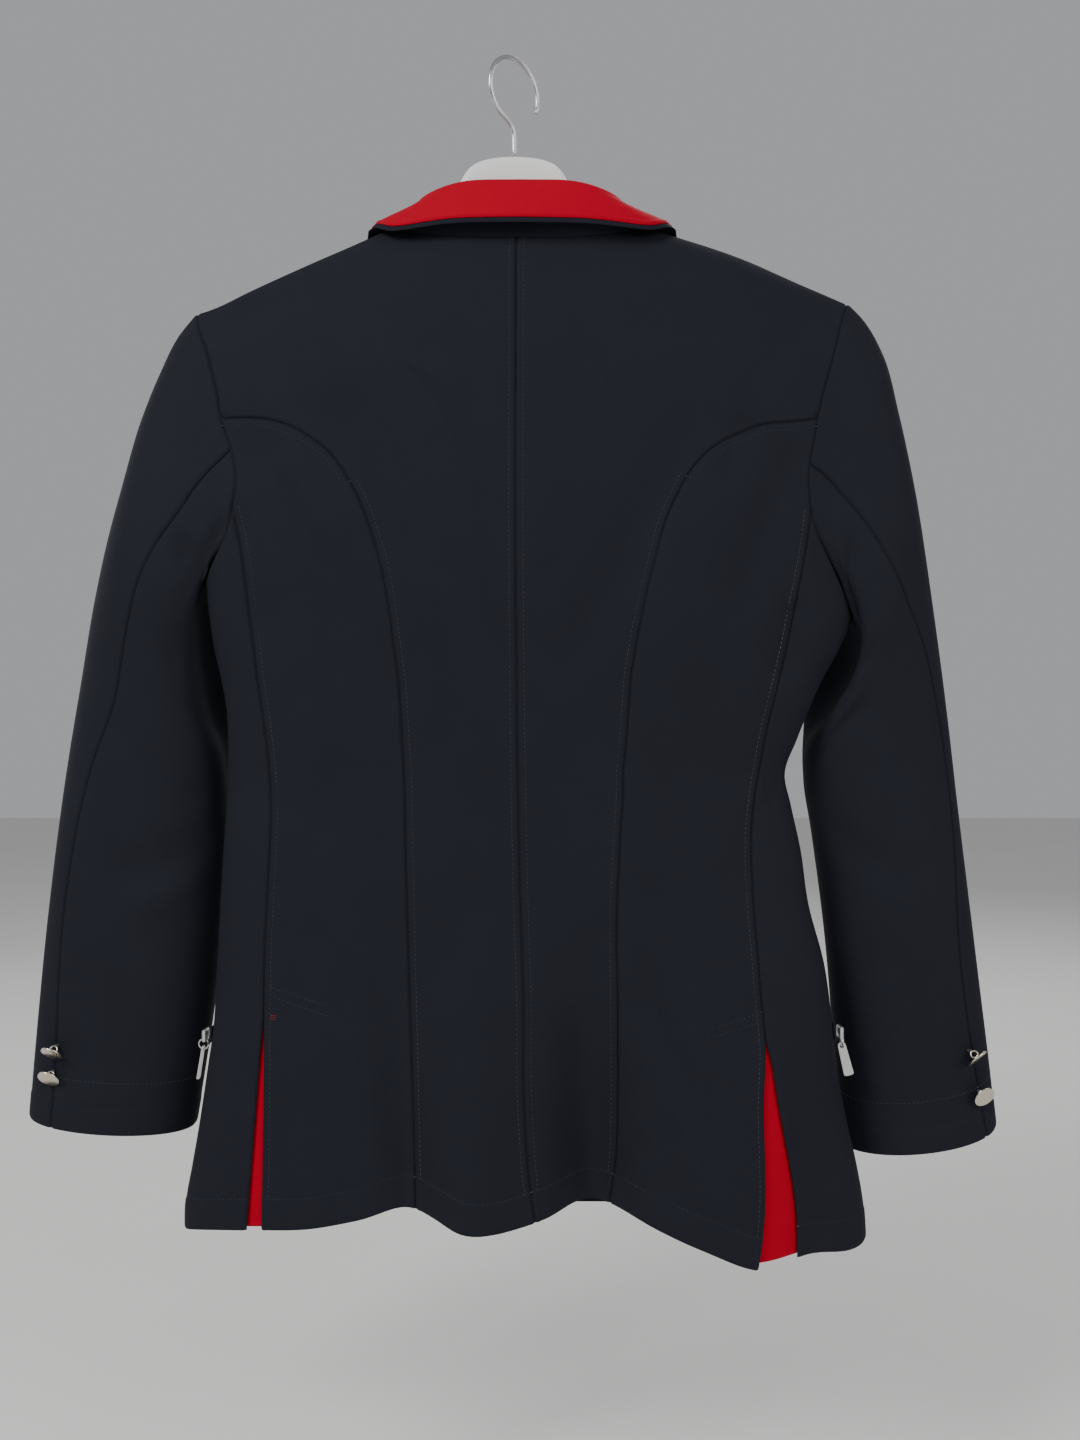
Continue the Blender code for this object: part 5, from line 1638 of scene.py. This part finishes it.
@dataclass
class Buttons:
    """Bare domed metal buttons: two that hang at each cuff, and a row on shanks on the right front."""

    finish: bpy.types.Material
    jacket: Jacket
    thread: bpy.types.Material
    cuff_radius: float = 7.5
    front_radius: float = 10.0
    shank_radius: float = 1.9
    seat: float = 0.35
    loop_radius: float = 2.3
    loop_wire: float = 0.6
    loop_sink: float = 0.3
    rest: float = 0.6
    least_thread: float = 1.6
    thread_radius: float = 1.2
    thread_pitch: float = 0.3
    thread_sides: int = 16
    front_heights: tuple[float, ...] = (-306, -376, -446, -516)
    cuffs: dict[Side, Table] = sides(
        table("station turn x y z", (413, 50.7, 0.22, 0.61, -0.76), (430, 48.7, 0.16, 0.73, -0.66)),
        table("station turn x y z", (403, 49.3, -0.56, 0.44, -0.7), (432, 42.6, -0.3, 0.83, -0.46)))
    front_shank: float = 3.0
    rim: float = 0.9
    rim_height: float = 3.7
    dome: tuple[tuple[float, float], ...] = (
        (0.5, 0.2), (0.45, -0.1), (0.35, -0.45), (0.8, 0.25), (1.4, 0.45), (1.5, 0.25), (1.2, 0.1))
    back_inset: float = 0.8
    back_rise: float = 0.25
    bevel: float = 0.22
    bevel_angle: float = 40

    def disc(self, name: str, radius: float, shank: float, foot: Array, facing: Array) -> None:
        """One button, shaped from a disc.

        Args:
            name: the button's node.
            radius: its radius.
            shank: the length of the shank at its back.
            foot: where its back or its shank's end lies.
            facing: the way that it faces.
        """
        bpy.ops.object.select_all(action="DESELECT")
        bpy.ops.mesh.primitive_cylinder_add(
            vertices=40, radius=radius, depth=self.rim, location=(0, 0, self.rim_height))
        thing = bpy.context.object
        select_only(thing)
        bpy.ops.object.transform_apply(location=True, rotation=True, scale=True)
        bpy.ops.object.mode_set(mode="EDIT")
        select_faces(thing, lambda face: face.normal.z > 0.9)
        for inset, rise in self.dome:
            bpy.ops.mesh.inset(thickness=inset * radius / self.cuff_radius, depth=rise)
        select_faces(thing, lambda face: face.normal.z < -0.9)
        bpy.ops.mesh.inset(thickness=self.back_inset, depth=self.back_rise)
        bpy.ops.mesh.inset(thickness=radius - self.shank_radius - self.back_inset, depth=0)
        if shank:
            bpy.ops.mesh.extrude_region_move(TRANSFORM_OT_translate={"value": (0, 0, -shank)})
        bpy.ops.object.mode_set(mode="OBJECT")
        rounded = thing.modifiers.new("edges", "BEVEL")
        rounded.width, rounded.segments, rounded.limit_method = self.bevel, 2, "ANGLE"
        rounded.angle_limit = math.radians(self.bevel_angle)
        bpy.ops.object.modifier_apply(modifier=rounded.name)
        bpy.ops.object.shade_smooth_by_angle(angle=math.radians(35))
        low = min(vertex.co.z for vertex in thing.data.vertices)
        turn = Vector(facing).to_track_quat("Z", "Y").to_matrix().to_4x4()
        place = Matrix.Translation(Vector(foot) * MM) @ turn @ Matrix.Scale(MM, 4)
        settle(thing, name + "_domed", self.finish, place @ Matrix.Translation((0, 0, -low)))
        dress(thing, Slot.BUTTON, name)
        log.info("%s", thing.name)

    def hang(self, name: str, foot: Array, out: Array, facing: Array) -> None:
        """A button that hangs from a wire loop, which is sewn on with wound thread.

        Args:
            name: the button's node.
            foot: where it is sewn on.
            out: the cloth's direction there.
            facing: the way that it faces.
        """
        to_back = 2 * self.loop_radius + self.loop_wire - self.loop_sink
        cosine = float(np.dot(out, facing))
        sine = math.sqrt(max(0, 1 - cosine ** 2))
        length = max(self.cuff_radius * sine + self.rest - to_back * cosine, self.least_thread)
        end = foot + out * length
        self.disc(name, self.cuff_radius, 0, end + facing * to_back, facing)
        bpy.ops.object.select_all(action="DESELECT")
        bpy.ops.mesh.primitive_torus_add(
            major_radius=self.loop_radius, minor_radius=self.loop_wire, major_segments=28, minor_segments=12)
        ring = bpy.context.object
        bpy.ops.object.shade_smooth()
        along, axis = Vector(facing), Vector(np.array([0, 1, 0]) - facing * facing[1]).normalized()
        turn = Matrix((along, axis.cross(along), axis)).transposed().to_4x4()
        place = Matrix.Translation(Vector(end + facing * self.loop_radius) * MM) @ turn @ Matrix.Scale(MM, 4)
        settle(ring, name + "_loop", self.finish, place)
        dress(ring, Slot.BUTTON)
        self.wind(name + "_thread", foot + out * self.seat, end, out)

    def wind(self, name: str, start: Array, end: Array, out: Array) -> None:
        """Thread wound round itself between two points.

        Args:
            name: the piece's name.
            start: one end.
            end: the other end.
            out: the direction away from the cloth.
        """
        rows = max(int(np.linalg.norm(end - start) / self.thread_pitch), 4)
        middle = start + (end - start) * np.linspace(0, 1, rows)[:, None]
        radius = self.thread_radius * (1 - 0.15 * (np.arange(rows) % 2))
        one = unit(np.cross(out, (0.0, 0.0, 1.0)))
        turns = np.linspace(0, 2 * np.pi, self.thread_sides, endpoint=False)[:, None]
        around = np.cos(turns) * one + np.sin(turns) * np.cross(out, one)
        points = middle[:, None] + around[None] * radius[:, None, None]
        tubes(name, points.reshape(-1, 3), self.thread_sides, rows, self.thread, Slot.NAVY)

    def build(self) -> None:
        """All the buttons."""
        for side, rows in self.cuffs.items():
            for k, (station, turn, *facing) in enumerate(zip(*rows.values()), 1):
                point, out = self.jacket.sleeves[side].surface(np.array([[math.radians(turn), station]]))
                self.hang(f"cuff_button_{side.word}_{k}", point[0], out[0], unit(np.array(facing)))
        for k, height in enumerate(self.front_heights, 1):
            point, out = self.jacket.body.surface(np.array([[-math.pi, height]]))
            foot = point[0] + out[0] * self.seat
            self.disc(f"front_button_{k}", self.front_radius, self.front_shank, foot, out[0])


@dataclass
class PocketZips:
    """The pocket zips on the fronts: their tape and coils."""

    tape: bpy.types.Material
    coil: bpy.types.Material
    jacket: Jacket
    heights: dict[Side, float] = sides(-649, -647)
    turns: tuple[float, float] = (86, 152)
    width: float = 11
    rise: float = 10
    gap: float = 0.9
    thickness: float = 1.2
    pitch: float = 1.5
    coil_half: float = 2.2
    wire: float = 0.42
    coil_lift: float = 0.9
    coil_sections: tuple[tuple[float, float], ...] = ((-0.25, 0.5), (0.05, 0.8), (0.75, 0.8), (1.0, 0.35))

    def middle(self, side: Side, degrees: Array) -> Array:
        """Places along the middle of the zip."""
        first, last = self.turns
        height = self.heights[side] + self.rise * (degrees - first) / (last - first)
        return pair(side.value * np.radians(degrees), height)

    def build_tape(self, side: Side) -> Surface:
        """The woven tape.

        Args:
            side: its side.

        Returns:
            The tape's surface.
        """
        surface = moved(self.jacket.body.surface, self.gap + self.thickness)
        along = self.middle(side, np.linspace(*self.turns, 90))
        over = np.linspace(-0.5, 0.5, 13)[:, None, None] * (0, -self.width)
        cloth = Cloth(f"zip_band_{side.word}", Slot.TAPE, surface, self.thickness)
        cloth.add(along[None] + over)
        for edge in (-0.5, 0.5):
            cloth.seams.append(Seam(along + (0, edge * self.width), SeamKind.ROLLED, tuple(along[45])))
        cloth.make(self.tape)
        return surface

    def build_coil(self, side: Side, surface: Surface) -> None:
        """The two coils that mesh along the middle.

        Args:
            side: its side.
            surface: the tape's surface.
        """
        first, last = self.turns
        points, out = surface(self.middle(side, np.linspace(first + 5, last - 2, 400)))
        along = lengths(points)
        at = np.arange(self.pitch, along[-1] - self.pitch, self.pitch / 2)
        place, up = read(at, along, points), unit(read(at, along, out))
        forward = unit(np.gradient(place, axis=0))
        hand = np.where(np.arange(len(at)) % 2, 1, -1)[:, None]
        across = unit(np.cross(up, forward)) * hand * self.coil_half
        rings = []
        for share, high in self.coil_sections:
            base = place + across * share + up * (high * self.coil_lift)
            for angle in np.arange(4) * math.pi / 2:
                rings.append(base + up * self.wire * math.cos(angle) + forward * self.wire * math.sin(angle))
        points = np.stack(rings, axis=1).reshape(-1, 3)
        tubes(f"zip_coil_{side.word}", points, 4, len(self.coil_sections), self.coil, Slot.TAPE, 60)

    def build(self) -> None:
        """Both zips."""
        for side in Side:
            self.build_coil(side, self.build_tape(side))


@dataclass
class Hanger:
    """The hanger's body and its hook, smoothed from their solids."""

    plastic: bpy.types.Material
    steel: bpy.types.Material
    weld: float = 0.05
    levels: int = 2
    flat_angle: float = 50
    square_angle: float = 60
    smooth_angle: float = 60

    def smoothed(self, node: bpy.types.Object, finish: bpy.types.Material, slot: Slot) -> None:
        """A smooth copy of a node.

        Args:
            node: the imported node.
            finish: the copy's material.
            slot: the copy's slot.
        """
        thing = node.copy()
        thing.data = node.data.copy()
        for key in [key for key in thing.keys() if key.startswith("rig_")]:
            del thing[key]
        thing.parent = None
        bpy.context.scene.collection.objects.link(thing)
        select_only(thing)
        bpy.ops.object.mode_set(mode="EDIT")
        bpy.ops.mesh.select_all(action="SELECT")
        bpy.ops.mesh.remove_doubles(threshold=self.weld * MM)
        bpy.ops.mesh.tris_convert_to_quads(
            face_threshold=math.radians(self.flat_angle), shape_threshold=math.radians(self.square_angle))
        bpy.ops.object.mode_set(mode="OBJECT")
        step = thing.modifiers.new("smooth", "SUBSURF")
        step.levels = step.render_levels = self.levels
        bpy.ops.object.modifier_apply(modifier=step.name)
        bpy.ops.object.shade_smooth_by_angle(angle=math.radians(self.smooth_angle))
        settle(thing, node.name + "_smooth", finish, Matrix.Identity(4))
        dress(thing, slot, node.name)
        log.info("%s: %d faces", thing.name, len(thing.data.polygons))

    def build(self, nodes: dict[str, bpy.types.Object]) -> None:
        """The hanger and its hook."""
        self.smoothed(nodes["hanger"], self.plastic, Slot.PLASTIC)
        self.smoothed(nodes["hook"], self.steel, Slot.STEEL)


# Finishes


@dataclass(frozen=True)
class Signal:
    """A shader value that ordinary arithmetic works on."""

    tree: bpy.types.NodeTree
    socket: bpy.types.NodeSocket

    def math(self, operation: str, *values: Union["Signal", Number]) -> "Signal":
        """A Math node on values.

        Args:
            operation: what the node does.
            values: its inputs after this one.

        Returns:
            The result.
        """
        made = self.tree.nodes.new("ShaderNodeMath")
        made.operation = operation
        for socket, value in zip(made.inputs, values):
            if isinstance(value, Signal):
                self.tree.links.new(value.socket, socket)
            else:
                socket.default_value = value
        return Signal(self.tree, made.outputs[0])

    def __add__(self, other: Union["Signal", Number]) -> "Signal":
        """Sum."""
        return self.math("ADD", self, other)

    __radd__ = __add__

    def __mul__(self, other: Union["Signal", Number]) -> "Signal":
        """Product."""
        return self.math("MULTIPLY", self, other)

    __rmul__ = __mul__

    def __sub__(self, other: Union["Signal", Number]) -> "Signal":
        """Difference."""
        return self.math("SUBTRACT", self, other)

    def __rsub__(self, other: Number) -> "Signal":
        """Difference from a number."""
        return self.math("SUBTRACT", other, self)

    def wave(self, length: Number) -> "Signal":
        """Wave of 0 to 1 with a length."""
        return self.math("SINE", self * (2 * math.pi / length)) * 0.5 + 0.5


class Finish:
    """A material's nodes, begun from its shader. The colour sockets of a Mix node are known by number."""

    MIX_SOCKETS = (0, 6, 7)
    MIX_RESULT = 2

    def __init__(self, name: str, **constants: Union[Number, tuple]) -> None:
        """Starts the material.

        Args:
            name: its name.
            constants: values of the shader's sockets, with _ for a space.
        """
        self.material = bpy.data.materials.new(name)
        self.material.use_nodes = True
        self.tree = self.material.node_tree
        self.shader = self.tree.nodes["Principled BSDF"]
        for key, value in constants.items():
            self.shader.inputs[key.replace("_", " ")].default_value = value

    def node(self, kind: str, settings: Optional[dict] = None,
             **inputs: Union[Signal, Number, tuple]) -> bpy.types.Node:
        """Adds a node.

        Args:
            kind: its type.
            settings: what is set on the node itself.
            inputs: values or links of its sockets, with _ for a space.

        Returns:
            The node.
        """
        made = self.tree.nodes.new(kind)
        for key, value in (settings or {}).items():
            setattr(made, key, value)
        for key, value in inputs.items():
            socket = made.inputs[key.replace("_", " ")]
            if isinstance(value, Signal):
                self.tree.links.new(value.socket, socket)
            else:
                socket.default_value = value
        return made

    def signal(self, node: bpy.types.Node, output: Union[str, int] = 0) -> Signal:
        """One output of a node."""
        return Signal(self.tree, node.outputs[output])

    def at(self) -> Signal:
        """Places on the object, in metres."""
        return self.signal(self.node("ShaderNodeTexCoord"), "Object")

    def noise(self, scale: Number, detail: Number = 2) -> Signal:
        """Cloudy noise of 0 to 1."""
        made = self.node("ShaderNodeTexNoise", None, Vector=self.at(), Scale=scale, Detail=detail)
        return self.signal(made)

    def blend(self, share: Signal, first: Colour, second: Colour) -> Signal:
        """Mix of two colours.

        Args:
            share: the share of the second.
            first: the first colour.
            second: the second colour.

        Returns:
            The mixed colour.
        """
        made = self.node("ShaderNodeMix", {"data_type": "RGBA"})
        factor, one, other = [made.inputs[k] for k in self.MIX_SOCKETS]
        self.tree.links.new(share.socket, factor)
        one.default_value, other.default_value = (*first, 1), (*second, 1)
        return self.signal(made, self.MIX_RESULT)

    def tint(self, share: Signal, colour: Colour, dark: Number, light: Number) -> None:
        """Paints a colour that varies from a darker to a lighter tint."""
        tints = [tuple(c * tone for c in colour) for tone in (dark, light)]
        self.paint("Base Color", self.blend(share, *tints))

    def paint(self, socket: str, value: Signal) -> None:
        """Links a value to the shader."""
        self.tree.links.new(value.socket, self.shader.inputs[socket])

    def bump(self, height: Signal, distance: float, strength: float = 1.0) -> None:
        """Raises the surface by a height of 0 to 1 times a distance."""
        made = self.node("ShaderNodeBump", None, Height=height, Distance=distance, Strength=strength)
        self.tree.links.new(made.outputs[0], self.shader.inputs["Normal"])


@dataclass(frozen=True)
class Softshell:
    """Softshell cloth: a fine smooth knit face with a slight sheen and faint mottling."""

    name: str
    colour: Colour
    light: float = 1.22
    dark: float = 0.80
    roughness: float = 0.62
    knit: float = 0.00085
    depth: float = 0.00010
    sheen: float = 0.008
    sheen_roughness: float = 0.4
    gloss: float = 0.03

    def make(self) -> bpy.types.Material:
        """The cloth's material.

        Returns:
            The material.
        """
        finish = Finish(
            self.name, Sheen_Weight=self.sheen, Sheen_Roughness=self.sheen_roughness,
            Specular_IOR_Level=self.gloss)
        weave = finish.signal(finish.node("ShaderNodeUVMap", {"uv_map": "weave"}))
        split = finish.node("ShaderNodeSeparateXYZ", None, Vector=weave)
        across, down = finish.signal(split, 0), finish.signal(split, 1)
        rib = (across + down * 0.5).wave(self.knit) * 0.6 + (across - down * 0.5).wave(self.knit) * 0.4
        yarn, cloud, broad = finish.noise(900, 1), finish.noise(38, 3), finish.noise(7, 2)
        finish.tint(cloud * 0.35 + broad * 0.35 + yarn * 0.2 + rib * 0.1, self.colour, self.dark, self.light)
        finish.paint("Roughness", cloud * 0.10 + rib * 0.05 + (self.roughness - 0.07))
        finish.bump(rib * 0.6 + yarn * 0.7, self.depth)
        return finish.material


@dataclass(frozen=True)
class Thread:
    """Sewing thread with a slight gloss."""

    name: str
    colour: Colour

    def make(self) -> bpy.types.Material:
        """The thread's material.

        Returns:
            The material.
        """
        finish = Finish(self.name, Specular_IOR_Level=0.5)
        twist = finish.noise(1500, 1)
        finish.tint(twist, self.colour, 1, 1.35)
        finish.paint("Roughness", twist * 0.2 + 0.4)
        return finish.material


@dataclass(frozen=True)
class Metal:
    """Plated or bare metal with fine handling marks."""

    name: str
    colour: Colour
    roughness: float
    grain: float = 220

    def make(self) -> bpy.types.Material:
        """The metal's material.

        Returns:
            The material.
        """
        finish = Finish(self.name, Metallic=1.0)
        marks, cloud = finish.noise(self.grain, 4), finish.noise(60, 2)
        finish.tint(marks * 0.5 + cloud * 0.5, self.colour, 0.82, 1)
        finish.paint("Roughness", marks * 0.14 + cloud * 0.08 + (self.roughness - 0.1))
        finish.bump(marks, 0.00003, 0.6)
        return finish.material


@dataclass(frozen=True)
class ZipTape:
    """Woven zip tape and its coil."""

    name: str
    colour: Colour
    roughness: float
    rib: float = 0.0009

    def make(self) -> bpy.types.Material:
        """The tape's material.

        Returns:
            The material.
        """
        finish = Finish(self.name)
        place = finish.node("ShaderNodeSeparateXYZ", None, Vector=finish.at())
        rib = finish.signal(place, 2).wave(self.rib) * 0.5 + finish.signal(place, 0).wave(self.rib) * 0.5
        finish.tint(rib, self.colour, 1, 1.5)
        finish.paint("Roughness", rib * 0.1 + self.roughness)
        finish.bump(rib, 0.0001)
        return finish.material


@dataclass(frozen=True)
class Plastic:
    """Moulded plastic with a faint grain."""

    name: str
    colour: Colour

    def make(self) -> bpy.types.Material:
        """The plastic's material.

        Returns:
            The material.
        """
        finish = Finish(self.name, Specular_IOR_Level=0.5)
        grain, cloud = finish.noise(700, 2), finish.noise(18, 3)
        finish.tint(cloud, self.colour, 0.93, 1)
        finish.paint("Roughness", cloud * 0.12 + 0.28)
        finish.bump(grain, 0.00004, 0.5)
        return finish.material


# The stage


@dataclass
class Stage:
    """Camera, lights and a plain pale floor."""

    camera_place: tuple[float, float, float] = (-0.0173, 0.921, -0.4389)
    focal_length: float = 1383
    picture_height: float = 1440
    sensor: float = 24
    middle: tuple[float, float, float] = (0, 0, -0.45)
    floor_height: float = -1.0
    floor_size: float = 14
    floor_tints: tuple[Colour, Colour] = ((0.74, 0.73, 0.71), (0.78, 0.77, 0.75))
    sky: Colour = (0.88, 0.89, 0.92)
    sky_strength: float = 0.42
    lights: tuple = (
        ("key", (1.5, 1.6, 1.0), 0.9, 48), ("fill", (-1.8, 1.5, 0.4), 1.6, 24),
        ("far_key", (-1.0, -2.0, 1.3), 1.4, 26), ("far_fill", (1.9, -1.2, 0.2), 1.6, 8))

    def hold(self, name: str, data: bpy.types.ID, place: Sequence[float]) -> bpy.types.Object:
        """A camera or lamp at its place."""
        holder = bpy.data.objects.new(name, data)
        holder.location = place
        bpy.context.scene.collection.objects.link(holder)
        return holder

    def light(self, name: str, place: Sequence[float], size: float, power: float) -> None:
        """A soft lamp that looks at the jacket's middle.

        Args:
            name: its name.
            place: where it stands.
            size: its size.
            power: its power in watts.
        """
        lamp = bpy.data.lights.new(name, "AREA")
        lamp.shape, lamp.size, lamp.energy = "SQUARE", size, power
        toward = Vector(self.middle) - Vector(place)
        self.hold(name, lamp, place).rotation_euler = toward.to_track_quat("-Z", "Y").to_euler()

    def build(self) -> None:
        """The whole stage."""
        camera = bpy.data.cameras.new("camera")
        camera.sensor_fit, camera.sensor_height = "VERTICAL", self.sensor
        camera.lens = self.sensor * self.focal_length / self.picture_height
        holder = self.hold("camera", camera, self.camera_place)
        holder.rotation_euler = (math.pi / 2, 0, math.pi)
        bpy.context.scene.camera = holder
        bpy.ops.object.select_all(action="DESELECT")
        bpy.ops.mesh.primitive_plane_add(size=self.floor_size, location=(0, 0, self.floor_height))
        floor = bpy.context.object
        floor.name = "floor"
        plain = Finish("floor_paint", Roughness=0.75)
        plain.paint("Base Color", plain.blend(plain.noise(3, 2), *self.floor_tints))
        floor.data.materials.append(plain.material)
        floor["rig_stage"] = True
        world = bpy.data.worlds.new("studio")
        world.use_nodes = True
        back = world.node_tree.nodes["Background"]
        back.inputs["Color"].default_value = (*self.sky, 1)
        back.inputs["Strength"].default_value = self.sky_strength
        bpy.context.scene.world = world
        for light in self.lights:
            self.light(*light)


def main() -> None:
    """Builds the jacket's pieces, trims and stage, and notes the sizes."""
    logging.basicConfig(level=logging.INFO, format="%(message)s")
    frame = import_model()
    nodes, solids = frame["nodes"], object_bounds()
    navy = Softshell("navy_cloth", (0.0152, 0.0162, 0.0226)).make()
    red = Softshell("red_cloth", (0.40, 0.0, 0.0160), light=1.08, dark=0.92, sheen=0.02).make()
    thread = Thread("navy_thread", (0.044, 0.046, 0.056)).make()
    silver = Metal("silver", (0.74, 0.74, 0.73), 0.32).make()
    stitching = Stitching("topstitching", Slot.NAVY)
    tack = Stitching("vent_bar_tack", Slot.RED, pitch=1.0, length=1.2, width=0.7)
    jacket = Jacket(navy, red, stitching)
    jacket.build()
    for side in Side:
        jacket.stitch_vent_top(side, tack)
        for name in ("zip_slider", "zip_tab"):
            for slot in nodes[f"{name}_{side.word}"].material_slots:
                slot.material = silver
    stitching.make(thread)
    tack.make(Thread("red_thread", (0.42, 0.01, 0.02)).make())
    Buttons(Metal("button_metal", (0.66, 0.61, 0.50), 0.26).make(), jacket, thread).build()
    tape = ZipTape("tape", (0.008, 0.010, 0.015), 0.78).make()
    PocketZips(tape, ZipTape("coil", (0.012, 0.013, 0.016), 0.40).make(), jacket).build()
    white = Plastic("white_plastic", (0.80, 0.80, 0.78)).make()
    Hanger(white, Metal("steel", (0.56, 0.56, 0.57), 0.28).make()).build(nodes)
    Stage().build()


if __name__ == "__main__":
    main()
